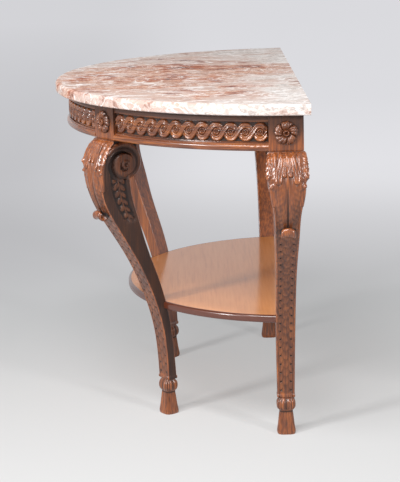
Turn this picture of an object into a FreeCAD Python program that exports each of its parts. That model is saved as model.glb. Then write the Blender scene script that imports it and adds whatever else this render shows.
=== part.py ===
import FreeCAD, Part
import math
import os

import Sketcher
from FreeCAD import Vector

doc = FreeCAD.newDocument("pier_table")
sheet = doc.addObject("Spreadsheet::Sheet", "sizes")

driving_sizes = {
    # the whole table, a half round that stands against a wall
    "table_height": 840,
    "top_radius": 620,
    "top_thickness": 26,
    "top_overhang": 28,
    "top_edge_round": 9,
    "top_edge_arris": 4,
    # the frame under the marble
    "apron_height": 85,
    "block_width": 80,
    "block_depth": 80,
    "back_margin": 15,
    "front_leg_angle": 54.3,
    "rail_recess": 12,
    "rail_thickness": 26,
    "band_height": 17,
    "band_relief": 8,
    "back_rail_thickness": 22,
    "bearer_width": 70,
    "bearer_thickness": 25,
    "bearer_housing": 8,
    "tenon_length": 24,
    "tenon_thickness": 11,
    "tenon_shoulder": 12,
    "tenon_root": 10,
    "joint_clearance": 0.15,
    "mortise_spare": 1,
    "glue_block_leg": 34,
    "glue_block_inset": 8,
    # carved strips on the frame
    "moulding_height": 18,
    "moulding_relief": 14,
    "moulding_back": 8,
    "moulding_fillet": 3,
    "moulding_nose_round": 5.5,
    "guilloche_height": 44,
    "guilloche_ground": 2,
    "guilloche_relief": 6,
    "guilloche_pitch": 34,
    "guilloche_end_gap": 1.5,
    "rosette_radius": 28,
    "rosette_ground": 3,
    "rosette_relief": 9,
    "rosette_petals": 8,
    # the scrolled legs
    "knee_reach": 37,
    "foot_inset": 170,
    "eye_inset": 33,
    "eye_drop": 61,
    "eye_radius": 9,
    "eye_relief": 3,
    "volute_radius": 54,
    "volute_wind": 0.123,
    "groove_width": 6,
    "groove_depth": 5,
    "leaf_thickness": 6,
    "leaf_root": 8,
    "leaf_width": 98,
    "leaf_tip_radius": 7,
    "leaf_tip_width": 36,
    # the feet
    "foot_height": 57,
    "foot_width": 46,
    "foot_depth": 42,
    "bulb_height": 36,
    "bulb_width": 47,
    "bulb_depth": 40,
    # the shelf between the legs
    "shelf_height": 302,
    "shelf_thickness": 18,
    "shelf_lap": 6,
    "shelf_back": 32,
    "shelf_top_round": 6,
    "shelf_foot_round": 4,
    "seat_depth": 1.5,
    "dowel_radius": 4,
    "dowel_in_shelf": 22,
    "dowel_in_leg": 12,
    "dowel_spread": 12,
    "dowel_clearance": 0.1,
}
for row, (name, value) in enumerate(driving_sizes.items(), 1):
    sheet.set(f"A{row}", name)
    sheet.set(f"B{row}", str(value))
    sheet.setAlias(f"B{row}", name)
doc.recompute()


# Two places nearer than this count as one.
same_place = 1e-6


def number(expression):
    """The value of an expression over the sheet's cells."""
    value = sheet.evalExpression(expression)
    return float(getattr(value, "Value", value))


def plain(name):
    return number("sizes." + name)


# Sizes that follow from the driving ones, each named once.
face_radius = "(sizes.top_radius - sizes.top_overhang)"
centre_y = "(sizes.top_radius / 2)"
apron_top = "(sizes.table_height - sizes.top_thickness)"
apron_bottom = f"({apron_top} - sizes.apron_height)"
half_block = "(sizes.block_width / 2)"
back_leg_y = f"(sizes.back_margin + {half_block})"
back_leg_angle = f"asin({back_leg_y} / {face_radius})"
front_leg_angle = "(sizes.front_leg_angle * 1 deg)"
field_radius = f"({face_radius} - sizes.rail_recess)"
rail_inner = f"({field_radius} - sizes.rail_thickness)"
rail_middle = f"({field_radius} - sizes.rail_thickness / 2)"
ankle_height = "(sizes.foot_height + sizes.bulb_height)"
leg_drop = f"({apron_bottom} - {ankle_height})"
back_rail_y = f"({centre_y} - sizes.back_margin - sizes.back_rail_thickness)"
back_rail_half = f"({face_radius} - sizes.block_depth)"

# Each leg: where its block's outer face stands, and which way that face looks.
front_x = f"({face_radius} * cos({front_leg_angle}))"
front_y = f"({centre_y} - {face_radius} * sin({front_leg_angle}))"
back_y = f"({centre_y} - {back_leg_y})"
legs = {
    "right_back": (face_radius, back_y, "0"),
    "right_front": (front_x, front_y, "-sizes.front_leg_angle"),
    "left_front": (f"-{front_x}", front_y, "(sizes.front_leg_angle - 180)"),
    "left_back": (f"-{face_radius}", back_y, "180"),
}


def put(thing, x, y, z, turn="0", tip="0"):
    thing.setExpression(
        "Placement", f"placement(vector({x}; {y}; {z}); rotation({turn}; {tip}; 0))"
    )


def put_at_leg(thing, leg, out, along, z, tip="0"):
    """Places a thing in a leg's own frame: out from the block's face, along its width."""
    x, y, turn = legs[leg]
    angle = f"({turn} * 1 deg)"
    put(
        thing,
        f"{x} + ({out}) * cos({angle}) - ({along}) * sin({angle})",
        f"{y} + ({out}) * sin({angle}) + ({along}) * cos({angle})",
        z,
        turn,
        tip,
    )


def new_body(label):
    body = doc.addObject("PartDesign::Body", label)
    body.Label = label
    return body


def polygon_sketch(body, label, role, points):
    """A closed outline on an origin plane, each corner held by the sheet's sizes."""
    sketch = body.newObject("Sketcher::SketchObject", label)
    plane = [part for part in body.Origin.OriginFeatures if part.Role == role][0]
    sketch.AttachmentSupport = [(plane, "")]
    sketch.MapMode = "FlatFace"
    corners = [Vector(number(x), number(y), 0) for x, y in points]
    count = len(corners)
    for index in range(count):
        sketch.addGeometry(Part.LineSegment(corners[index], corners[(index + 1) % count]))
    for index in range(count):
        sketch.addConstraint(Sketcher.Constraint("Coincident", index, 2, (index + 1) % count, 1))
    for index, (x, y) in enumerate(points):
        for kind, text, axis in (("DistanceX", x, -2), ("DistanceY", y, -1)):
            if text == "0":
                sketch.addConstraint(Sketcher.Constraint("PointOnObject", index, 1, axis))
                continue
            rule = Sketcher.Constraint(kind, -1, 1, index, 1, number(text))
            place = sketch.addConstraint(rule)
            sketch.renameConstraint(place, f"{kind}{index}")
            sketch.setExpression(f"Constraints.{kind}{index}", text)
    return sketch


def half_round_sketch(body, label, radius, back):
    """A half round whose straight side lies behind the arc's centre line."""
    sketch = body.newObject("Sketcher::SketchObject", label)
    plane = [part for part in body.Origin.OriginFeatures if part.Role == "XY_Plane"][0]
    sketch.AttachmentSupport = [(plane, "")]
    sketch.MapMode = "FlatFace"
    size, drop = number(radius), number(back)
    lift = math.asin(drop / size)
    circle = Part.Circle(Vector(0, 0, 0), Vector(0, 0, 1), size)
    sketch.addGeometry(Part.ArcOfCircle(circle, math.pi + lift, 2 * math.pi - lift))
    ends = [Vector(side * size * math.cos(lift), -drop, 0) for side in (-1, 1)]
    sketch.addGeometry(Part.LineSegment(*ends))
    sketch.addConstraint(Sketcher.Constraint("Coincident", 0, 3, -1, 1))
    sketch.addConstraint(Sketcher.Constraint("Coincident", 0, 1, 1, 1))
    sketch.addConstraint(Sketcher.Constraint("Coincident", 0, 2, 1, 2))
    place = sketch.addConstraint(Sketcher.Constraint("Radius", 0, size))
    sketch.renameConstraint(place, "radius")
    sketch.setExpression("Constraints.radius", radius)
    if back == "0":
        sketch.addConstraint(Sketcher.Constraint("PointOnObject", 1, 1, -1))
        sketch.addConstraint(Sketcher.Constraint("PointOnObject", 1, 2, -1))
    else:
        sketch.addConstraint(Sketcher.Constraint("Horizontal", 1))
        place = sketch.addConstraint(Sketcher.Constraint("DistanceY", 1, 1, -1, 1, drop))
        sketch.renameConstraint(place, "back")
        sketch.setExpression("Constraints.back", back)
    return sketch


def pad(body, sketch, label, length):
    feature = body.newObject("PartDesign::Pad", label)
    feature.Profile = sketch
    feature.setExpression("Length", length)
    doc.recompute()
    return feature


def round_arcs(body, base, label, radius, level):
    """Rounds the curved edges of a flat piece at one level."""
    names = [
        f"Edge{index}"
        for index, edge in enumerate(base.Shape.Edges, 1)
        if edge.Curve.TypeId == "Part::GeomCircle" and abs(edge.CenterOfMass.z - level) < same_place
    ]
    feature = body.newObject("PartDesign::Fillet", label)
    feature.Base = (base, names)
    feature.setExpression("Radius", radius)
    doc.recompute()
    return feature


def block_box(leg, label, out):
    """The room that a leg's block takes, for cutting what stops at the block's sides."""
    box = doc.addObject("Part::Box", f"{leg}_{label}")
    box.setExpression("Length", f"sizes.block_depth + {out}")
    box.setExpression("Width", "sizes.block_width")
    box.setExpression("Height", "sizes.apron_height")
    put_at_leg(box, leg, "-sizes.block_depth", f"-{half_block}", apron_bottom)
    return box


def joined(kind, label, **links):
    thing = doc.addObject(kind, label)
    thing.Label = label
    for name, value in links.items():
        setattr(thing, name, value)
    doc.recompute()
    return thing


def line(first, last):
    return Part.LineSegment(first, last).toShape()


nodes = []

# The marble: a half round slab with a rounded front edge and a square back edge.
body = new_body("marble_top")
outline = half_round_sketch(body, "slab_outline", "sizes.top_radius", "0")
slab = pad(body, outline, "slab", "sizes.top_thickness")
upper = round_arcs(body, slab, "upper_round", "sizes.top_edge_round", plain("top_thickness"))
round_arcs(body, upper, "lower_round", "sizes.top_edge_arris", 0)
put(body, "0", centre_y, apron_top)
nodes.append(body)

# The bearer that carries the marble across the middle, let into the front and back rails.
bearer_box = doc.addObject("Part::Box", "bearer_box")
bearer_box.setExpression("Length", "sizes.bearer_width")
bearer_box.setExpression("Width", "sizes.top_radius")
bearer_box.setExpression("Height", "sizes.bearer_thickness")
bearer_end_y = f"({back_rail_y} + sizes.bearer_housing)"
put(
    bearer_box,
    "-sizes.bearer_width / 2",
    f"{bearer_end_y} - sizes.top_radius",
    f"{apron_top} - sizes.bearer_thickness",
)
bearer_round = doc.addObject("Part::Cylinder", "bearer_round")
bearer_round.setExpression("Radius", f"{rail_inner} + sizes.bearer_housing")
bearer_round.setExpression("Height", "sizes.table_height")
put(bearer_round, "0", centre_y, "0")
bearer = joined("Part::MultiCommon", "cross_bearer", Shapes=[bearer_box, bearer_round])
nodes.append(bearer)

# The curved rails: a plain frieze with a raised band along the top, tenoned into the blocks.
rail_profile = (
    (rail_inner, "0"),
    (field_radius, "0"),
    (field_radius, "(sizes.apron_height - sizes.band_height)"),
    (f"({field_radius} + sizes.band_relief)", "(sizes.apron_height - sizes.band_height)"),
    (f"({field_radius} + sizes.band_relief)", "sizes.apron_height"),
    (rail_inner, "sizes.apron_height"),
)
nose_out = f"({field_radius} + sizes.moulding_relief)"
nose_back = f"({field_radius} + sizes.moulding_back)"
nose_top = "(sizes.moulding_height - sizes.moulding_fillet)"
moulding_profile = (
    (field_radius, "0"),
    (nose_out, "0"),
    (nose_out, nose_top),
    (nose_back, nose_top),
    (nose_back, "sizes.moulding_height"),
    (field_radius, "sizes.moulding_height"),
)
front_span = f"(180 deg - 2 * {front_leg_angle})"
side_span = f"({front_leg_angle} - {back_leg_angle})"
side_turn = f"(({front_leg_angle} + {back_leg_angle}) / 2)"
runs = {
    "right": ("right_front", "right_back", side_span, f"-{side_turn}"),
    "front": ("left_front", "right_front", front_span, "-90 deg"),
    "left": ("left_back", "left_front", side_span, f"{side_turn} - 180 deg"),
}


def swept_strip(label, profile, span, turn, height):
    """A profile turned about the half round's centre, half of the span to either side."""
    body = new_body(label)
    sketch = polygon_sketch(body, f"{label}_profile", "XZ_Plane", profile)
    turned = body.newObject("PartDesign::Revolution", f"{label}_turned")
    turned.Profile = sketch
    turned.ReferenceAxis = (sketch, ["V_Axis"])
    turned.Midplane = True
    turned.setExpression("Angle", span)
    put(body, "0", centre_y, height, turn)
    doc.recompute()
    return body


def tenon_out(leg):
    """How far out the middle of a curved rail stands where it meets the side of a block."""
    reach = half_block if "front" in leg else "(sizes.back_margin + sizes.block_width)"
    return f"(sqrt({rail_middle} * {rail_middle} - {reach} * {reach}) - {face_radius})"


def tenon(leg, side, label):
    box = doc.addObject("Part::Box", f"{leg}_{label}")
    box.setExpression("Length", "sizes.tenon_thickness")
    box.setExpression("Width", "sizes.tenon_length + sizes.tenon_root")
    box.setExpression("Height", "sizes.apron_height - 2 * sizes.tenon_shoulder")
    inner = f"{half_block} - sizes.tenon_length"
    along = inner if side > 0 else f"-({half_block} + sizes.tenon_root)"
    put_at_leg(
        box,
        leg,
        f"{tenon_out(leg)} - sizes.tenon_thickness / 2",
        along,
        f"{apron_bottom} + sizes.tenon_shoulder",
    )
    return box


for run, (first, last, span, turn) in runs.items():
    stops = [block_box(leg, f"stop_{run}", "sizes.moulding_relief") for leg in (first, last)]
    stops = joined("Part::Compound", f"{run}_stops", Links=stops)
    rail = swept_strip(f"{run}_rail_blank", rail_profile, span, turn, apron_bottom)
    rail = joined("Part::Cut", f"{run}_rail_cut", Base=rail, Tool=stops)
    if run == "front":
        rail = joined("Part::Cut", "front_rail_housed", Base=rail, Tool=bearer)
    tenons = [tenon(first, 1, f"tenon_{run}"), tenon(last, -1, f"tenon_{run}")]
    nodes.append(joined("Part::MultiFuse", f"{run}_rail", Shapes=[rail] + tenons))

    strip = swept_strip(f"{run}_strip", moulding_profile, span, turn, apron_bottom)
    turned = strip.Tip
    nose = [
        f"Edge{index}"
        for index, edge in enumerate(turned.Shape.Edges, 1)
        if edge.Curve.TypeId == "Part::GeomCircle"
        and abs(edge.Curve.Radius - number(nose_out)) < same_place
    ]
    nose_round = strip.newObject("PartDesign::Fillet", f"{run}_nose")
    nose_round.Base = (turned, nose)
    nose_round.setExpression("Radius", "sizes.moulding_nose_round")
    doc.recompute()
    nodes.append(joined("Part::Cut", f"{run}_moulding", Base=strip, Tool=stops))

# The straight back rail, tenoned into the inner faces of the back blocks.
back_board = doc.addObject("Part::Box", "back_board")
back_board.setExpression("Length", f"2 * {back_rail_half}")
back_board.setExpression("Width", "sizes.back_rail_thickness")
back_board.setExpression("Height", "sizes.apron_height")
put(back_board, f"-{back_rail_half}", back_rail_y, apron_bottom)
back_tenon = doc.addObject("Part::Box", "back_tenon")
back_tenon.setExpression("Length", f"2 * ({back_rail_half} + sizes.tenon_length)")
back_tenon.setExpression("Width", "sizes.tenon_thickness")
back_tenon.setExpression("Height", "sizes.apron_height - 2 * sizes.tenon_shoulder")
put(
    back_tenon,
    f"-({back_rail_half} + sizes.tenon_length)",
    f"{back_rail_y} + (sizes.back_rail_thickness - sizes.tenon_thickness) / 2",
    f"{apron_bottom} + sizes.tenon_shoulder",
)
back_whole = joined("Part::MultiFuse", "back_whole", Shapes=[back_board, back_tenon])
nodes.append(joined("Part::Cut", "back_rail", Base=back_whole, Tool=bearer))


# The guilloche: a thin ground with a row of ringed buttons and the slanted bands between them.
# The ring and its button in section: shares of the pitch outwards, of the relief in height.
ring_section_shares = (
    (0.47, 0),
    (0.445, 0.5),
    (0.385, 0.78),
    (0.33, 0.78),
    (0.27, 0.5),
    (0.245, 0),
    (0.2, 0),
    (0.18, 0.55),
    (0.11, 0.9),
    (0, 1),
)
# Shares of the strip's height: half width and length of a slanted band.
band_half_share, band_long_share = 0.1, 0.8
band_top_share = 0.7
band_slope = 62


def ringed_button(pitch, relief, root):
    """One ring with its button, turned about an axis that stands out of the strip."""
    corners = [Vector(-root, 0, 0), Vector(-root, ring_section_shares[0][0] * pitch, 0)]
    corners += [Vector(rise * relief, out * pitch, 0) for out, rise in ring_section_shares]
    face = Part.Face(Part.makePolygon(corners + corners[:1]))
    return face.revolve(Vector(0, 0, 0), Vector(1, 0, 0), 360)


def slanted_band(height, relief, root):
    """A half round band that leans across the strip between two rings."""
    half, long = band_half_share * height, band_long_share * height
    arc = Part.Arc(Vector(0, -half, 0), Vector(relief * band_top_share, 0, 0), Vector(0, half, 0))
    edges = [
        arc.toShape(),
        line(Vector(0, half, 0), Vector(-root, half, 0)),
        line(Vector(-root, half, 0), Vector(-root, -half, 0)),
        line(Vector(-root, -half, 0), Vector(0, -half, 0)),
    ]
    band = Part.Face(Part.Wire(edges)).extrude(Vector(0, 0, long))
    band.translate(Vector(0, 0, -long / 2))
    band.rotate(Vector(0, 0, 0), Vector(1, 0, 0), band_slope - 90)
    return band


def guilloche(span_angle):
    ground, relief = plain("guilloche_ground"), plain("guilloche_relief")
    height, pitch = plain("guilloche_height"), plain("guilloche_pitch")
    radius = number(field_radius)
    side = math.degrees(math.asin((number(half_block) + plain("guilloche_end_gap")) / radius))
    span = span_angle - 2 * side
    room = plain("apron_height") - plain("band_height") - plain("moulding_height")
    level = plain("moulding_height") + (room - height) / 2
    corners = [
        Vector(radius, 0, level),
        Vector(radius + ground, 0, level),
        Vector(radius + ground, 0, level + height),
        Vector(radius, 0, level + height),
    ]
    strip = Part.Face(Part.makePolygon(corners + corners[:1]))
    strip.rotate(Vector(0, 0, 0), Vector(0, 0, 1), -span / 2)
    strip = strip.revolve(Vector(0, 0, 0), Vector(0, 0, 1), span)
    count = int(math.radians(span) * radius / pitch)
    step = span / count
    across = math.radians(step) * radius
    carved = []
    for index in range(count):
        turn = -span / 2 + step * (index + 0.5)
        pieces = [(ringed_button(across, relief, ground / 2), turn)]
        if index + 1 < count:
            pieces.append((slanted_band(height, relief, ground / 2), turn + step / 2))
        for piece, place in pieces:
            piece.translate(Vector(radius + ground, 0, level + height / 2))
            piece.rotate(Vector(0, 0, 0), Vector(0, 0, 1), place)
            carved.append(piece)
    return strip.fuse(carved).removeSplitter()


front_guilloche = guilloche(number(front_span))
side_guilloche = guilloche(number(side_span))
for run, (first, last, span, turn) in runs.items():
    strip = doc.addObject("Part::Feature", f"{run}_guilloche")
    strip.Label = f"{run}_guilloche"
    strip.Shape = front_guilloche if run == "front" else side_guilloche
    put(strip, "0", centre_y, apron_bottom, turn)
    nodes.append(strip)

# The rosettes: a turned ground and boss with one petal patterned round it.
boss_share = 0.3
# A petal's half outline: shares of the rosette's radius, outwards and across.
petal_shares = ((0.28, 0), (0.42, 0.14), (0.66, 0.23), (0.86, 0.18), (0.97, 0.08), (1, 0))
for leg in legs:
    body = new_body(f"{leg}_rosette")
    boss = f"(sizes.rosette_radius * {boss_share})"
    profile = (
        ("0", "0"),
        ("sizes.rosette_radius", "0"),
        ("sizes.rosette_radius", "(sizes.rosette_ground / 2)"),
        (boss, "sizes.rosette_ground"),
        (boss, "sizes.rosette_relief"),
        ("0", "sizes.rosette_relief"),
    )
    sketch = polygon_sketch(body, f"{leg}_boss_profile", "XZ_Plane", profile)
    turned = body.newObject("PartDesign::Revolution", f"{leg}_boss")
    turned.Profile = sketch
    turned.ReferenceAxis = (sketch, ["V_Axis"])
    turned.Angle = 360
    outline = [
        (f"(sizes.rosette_radius * {out})", f"(sizes.rosette_radius * {across})" if across else "0")
        for out, across in petal_shares
    ]
    outline = polygon_sketch(body, f"{leg}_petal_outline", "XY_Plane", outline)
    petal = body.newObject("PartDesign::Revolution", f"{leg}_petal")
    petal.Profile = outline
    petal.ReferenceAxis = (outline, ["H_Axis"])
    petal.Angle = 180
    ring = body.newObject("PartDesign::PolarPattern", f"{leg}_petals")
    ring.Originals = [petal]
    ring.Axis = (sketch, ["V_Axis"])
    ring.Angle = 360
    ring.setExpression("Occurrences", "sizes.rosette_petals")
    body.Tip = ring
    put_at_leg(body, leg, "0", "0", f"{apron_bottom} + sizes.apron_height / 2", "90")
    doc.recompute()
    nodes.append(body)

# The legs: one carved piece from block to foot, drawn from the side and from the front.
# Shares are (drop from the block's underside, reach at the knee, inset at the foot).
front_shares = (
    (0.05, 0.70, 0),
    (0.124, 1, 0),
    (0.22, 0.78, 0),
    (0.313, 0, 0),
    (0.467, 0, 0.357),
    (0.656, 0, 0.685),
    (0.8, 0, 0.835),
    (1, 0, 0.895),
)
back_shares = (
    (0.2, 0.3),
    (0.265, 0.362),
    (0.335, 0.44),
    (0.415, 0.535),
    (0.579, 0.771),
    (0.706, 0.915),
    (0.825, 0.99),
    (1, 1.05),
)
# Shares are (drop from the block's underside, width of the block).
width_shares = ((0.22, 0.78), (0.3, 0.71), (0.415, 0.64), (0.675, 0.59), (1, 0.525))
straight_share = 0.13
# The scroll shows from under the block to where it meets the back of the leg, then winds in.
scroll_turns = (0.25, 0.9)
groove_turns = (1, 3.75)
# Shares of the bulb's and the foot's height, width and depth, from the floor up.
foot_shares = ((0, 0.97, 0.97), (0.1, 1, 1), (0.2, 0.97, 0.97), (0.55, 0.85, 0.82), (0.9, 0.75, 0.7))
bulb_shares = (
    (0.06, 0.73, 0.72),
    (0.22, 0.92, 0.9),
    (0.48, 1, 1),
    (0.76, 0.94, 0.9),
    (0.97, 0.78, 0.64),
    (1.1, 0.76, 0.62),
)
corner_share = 0.42
# Shares are (drop, half of the leaf's width) and the drop at the leaf's tip.
leaf_shares = ((0.004, 0.74), (0.06, 0.94), (0.115, 1), (0.17, 0.8), (0.23, 0.52), (0.285, 0.36))
leaf_tip_share = 0.302
leaf_start_share = 0.004
groove_taper_share = 0.5
eye_bevel_share = 0.8

top_level, block_level = number(apron_top), number(apron_bottom)
drop_size, ankle_level = number(leg_drop), number(ankle_height)
half_width = number(half_block)
spare = plain("mortise_spare")


def spline(points, start=None, finish=None):
    curve = Part.BSplineCurve()
    if start is None:
        curve.interpolate(points)
    else:
        curve.interpolate(Points=points, InitialTangent=start, FinalTangent=finish)
    return curve


def flat(edges):
    return Part.Face(Part.Wire(Part.__sortEdges__(edges)))


def level_at(drop):
    return block_level - drop * drop_size


def spiral(turn, shift=0):
    """A point of the scroll, wound in from the top towards the back, at turn half turns."""
    angle = turn * math.pi
    reach = plain("volute_radius") * math.exp(-plain("volute_wind") * angle) + shift
    return Vector(
        -plain("eye_inset") - reach * math.sin(angle),
        0,
        block_level - plain("eye_drop") + reach * math.cos(angle),
    )


def steps(first, last, count):
    return [first + (last - first) * index / (count - 1) for index in range(count)]


front_points = [Vector(0, 0, block_level)] + [
    Vector(reach * plain("knee_reach") - inset * plain("foot_inset"), 0, level_at(drop))
    for drop, reach, inset in front_shares
]
front_curve = spline(front_points)
scroll_points = [spiral(turn) for turn in steps(*scroll_turns, 7)]
back_points = [scroll_points[-1]] + [
    Vector(-inset * plain("foot_inset"), 0, level_at(drop)) for drop, inset in back_shares
]
back_curve = spline(back_points)
scroll_curve = spline(scroll_points)


def point_at_level(curve, level):
    """Where a leg's curve, which falls from its first end to its last, passes a level."""
    low, high = curve.FirstParameter, curve.LastParameter
    for _ in range(60):
        middle = (low + high) / 2
        if curve.value(middle).z > level:
            low = middle
        else:
            high = middle
    return curve.value(low)


shelf_top = plain("shelf_height")
shelf_under = shelf_top - plain("shelf_thickness")
seat_out = point_at_level(back_curve, shelf_top).x + plain("seat_depth")


def rounded_section(out, level, width, depth):
    """A rectangle with round corners, across the leg at one level."""
    a, b = depth / 2, width / 2
    corner = corner_share * min(a, b)
    edges, ends = [], []
    for sign_a, sign_b, start in ((1, 1, 0), (-1, 1, 90), (-1, -1, 180), (1, -1, 270)):
        centre = Vector(out + sign_a * (a - corner), sign_b * (b - corner), level)
        circle = Part.Circle(centre, Vector(0, 0, 1), corner)
        arc = Part.ArcOfCircle(circle, math.radians(start), math.radians(start + 90))
        edges.append(arc.toShape())
        ends.append((arc.StartPoint, arc.EndPoint))
    ordered = []
    for index in range(4):
        ordered.append(edges[index])
        ordered.append(line(ends[index][1], ends[(index + 1) % 4][0]))
    return Part.Wire(ordered)


def leg_blank():
    """Block, scroll and shaft: the side outline cut through by the front outline."""
    neck = scroll_points[0]
    inner = -plain("block_depth")
    corners = [
        scroll_points[0],
        Vector(neck.x, 0, block_level),
        Vector(inner, 0, block_level),
        Vector(inner, 0, top_level),
        Vector(0, 0, top_level),
        front_points[0],
    ]
    edges = [line(first, last) for first, last in zip(corners, corners[1:])]
    edges += [front_curve.toShape(), line(front_points[-1], back_points[-1])]
    edges += [back_curve.toShape(), scroll_curve.toShape()]
    side = flat(edges).extrude(Vector(0, 2 * half_width, 0))
    side.translate(Vector(0, -half_width, 0))
    widths = [Vector(0, half_width, level_at(straight_share))]
    widths += [Vector(0, share * half_width, level_at(drop)) for drop, share in width_shares]
    down = Vector(0, 0, -drop_size)
    right = spline(widths, down, down).toShape()
    left = right.mirror(Vector(0, 0, 0), Vector(0, 1, 0))
    shoulder = [Vector(0, sign * half_width, top_level) for sign in (1, -1)]
    edges = [line(shoulder[0], widths[0]), right, left, line(shoulder[0], shoulder[1])]
    mirrored = [Vector(0, -point.y, point.z) for point in (widths[0], widths[-1])]
    edges += [line(widths[-1], mirrored[1]), line(shoulder[1], mirrored[0])]
    reach = plain("top_radius")
    front = flat(edges).extrude(Vector(2 * reach, 0, 0))
    front.translate(Vector(-reach, 0, 0))
    return side.common(front)


def knee_leaf():
    """The leaf over the knee: a thick skin on the front curve, cut to the leaf's outline."""
    high, low = front_curve.FirstParameter, front_curve.LastParameter
    tip = point_at_level(front_curve, level_at(leaf_tip_share))
    last = front_curve.parameter(tip)
    outer, inner = [], []
    for place in steps(high + (low - high) * leaf_start_share, last, 9):
        point, along = front_curve.value(place), front_curve.tangent(place)[0]
        away = Vector(-along.z, 0, along.x)
        outer.append(point + away * plain("leaf_thickness"))
        inner.append(point - away * plain("leaf_root"))
    edges = [spline(outer).toShape(), spline(inner).toShape()]
    edges += [line(outer[0], inner[0]), line(outer[-1], inner[-1])]
    width = plain("leaf_width")
    skin = flat(edges).extrude(Vector(0, width, 0))
    skin.translate(Vector(0, -width / 2, 0))
    side = [Vector(0, share * width / 2, level_at(drop)) for drop, share in leaf_shares]
    foot = Vector(0, 0, level_at(leaf_tip_share))
    right = spline(side + [foot]).toShape()
    left = right.mirror(Vector(0, 0, 0), Vector(0, 1, 0))
    outline = flat([right, left, line(side[0], Vector(0, -side[0].y, side[0].z))])
    reach = plain("top_radius")
    outline = outline.extrude(Vector(2 * reach, 0, 0))
    outline.translate(Vector(-reach, 0, 0))
    half, round_size = plain("leaf_tip_width") / 2, plain("leaf_tip_radius")
    middle = Vector(outer[-2].x, 0, outer[-2].z)
    curl = Part.makeCylinder(round_size, 2 * half, middle - Vector(0, half, 0), Vector(0, 1, 0))
    curl = curl.makeChamfer(round_size / 2, [edge for edge in curl.Edges if len(edge.Vertexes) == 1])
    return [skin.common(outline), curl]


def scroll_groove(sign):
    """The channel that winds from under the scroll into its eye, sunk in one side."""
    turns = steps(*groove_turns, 25)
    half = plain("groove_width") / 2
    outer, inner = [], []
    for index, turn in enumerate(turns):
        taper = half * (1 - groove_taper_share * index / len(turns))
        outer.append(spiral(turn, taper))
        inner.append(spiral(turn, -taper))
    edges = [spline(outer).toShape(), spline(inner).toShape()]
    edges += [line(outer[0], inner[0]), line(outer[-1], inner[-1])]
    groove = flat(edges).extrude(Vector(0, plain("groove_depth") + spare, 0))
    start = half_width - plain("groove_depth")
    groove.translate(Vector(0, start if sign > 0 else -half_width - spare, 0))
    return groove


def mortise(out, along, deep_out, deep_along):
    """A slot for a tenon, longer than it by the spare, wider by the clearance."""
    fit = plain("joint_clearance")
    shoulder = plain("tenon_shoulder") - fit
    tall = plain("apron_height") - 2 * shoulder
    corner = Vector(out - fit, along - fit, block_level + shoulder)
    return Part.makeBox(deep_out + 2 * fit, deep_along + 2 * fit, tall, corner)


def shape_of_leg(leg):
    bottom = -(front_shares[-1][2] + back_shares[-1][1]) / 2 * plain("foot_inset")
    sections = []
    for rise, wide, deep in foot_shares:
        size = (wide * plain("foot_width"), deep * plain("foot_depth"))
        sections.append(rounded_section(bottom, rise * plain("foot_height"), *size))
    for rise, wide, deep in bulb_shares:
        size = (wide * plain("bulb_width"), deep * plain("bulb_depth"))
        level = plain("foot_height") + rise * plain("bulb_height")
        sections.append(rounded_section(bottom, level, *size))
    foot = Part.makeLoft(sections, True, False)
    eye = Vector(-plain("eye_inset"), 0, block_level - plain("eye_drop"))
    long = half_width + plain("eye_relief")
    button = Part.makeCylinder(plain("eye_radius"), 2 * long, eye - Vector(0, long, 0), Vector(0, 1, 0))
    rims = [edge for edge in button.Edges if len(edge.Vertexes) == 1]
    button = button.makeChamfer(plain("eye_relief") * eye_bevel_share, rims)
    blank = leg_blank().cut([scroll_groove(1), scroll_groove(-1)])
    shape = blank.fuse([foot, button] + knee_leaf())

    cuts = []
    thick, deep = plain("tenon_thickness"), plain("tenon_length") + spare
    sides = [1, -1] if "front" in leg else [-1 if "right" in leg else 1]
    for side in sides:
        out = number(tenon_out(leg)) - thick / 2
        cuts.append(mortise(out, half_width - deep if side > 0 else -half_width, thick, deep))
    if "back" in leg:
        side = 1 if "right" in leg else -1
        middle = side * (half_width - plain("back_rail_thickness") / 2)
        cuts.append(mortise(-plain("block_depth"), middle - thick / 2, deep, thick))
    seat = Part.makeBox(
        half_width,
        2 * half_width,
        plain("shelf_thickness"),
        Vector(seat_out - half_width, -half_width, shelf_under),
    )
    cuts.append(seat)
    hole = plain("dowel_radius") + plain("dowel_clearance")
    for side in (1, -1):
        start = Vector(seat_out, side * plain("dowel_spread"), (shelf_top + shelf_under) / 2)
        cuts.append(Part.makeCylinder(hole, plain("dowel_in_leg") + spare, start, Vector(1, 0, 0)))
    return shape.cut(cuts)


for leg in legs:
    carved = doc.addObject("Part::Feature", f"{leg}_leg")
    carved.Label = f"{leg}_leg"
    carved.Shape = shape_of_leg(leg)
    put_at_leg(carved, leg, "0", "0", "0")
    nodes.append(carved)
doc.recompute()

# The seat of the shelf follows from the legs' curve, so it is kept as a cell of its own.
row = len(driving_sizes) + 1
sheet.set(f"A{row}", "seat_inset")
sheet.set(f"B{row}", str(-seat_out))
sheet.setAlias(f"B{row}", "seat_inset")
doc.recompute()

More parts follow.
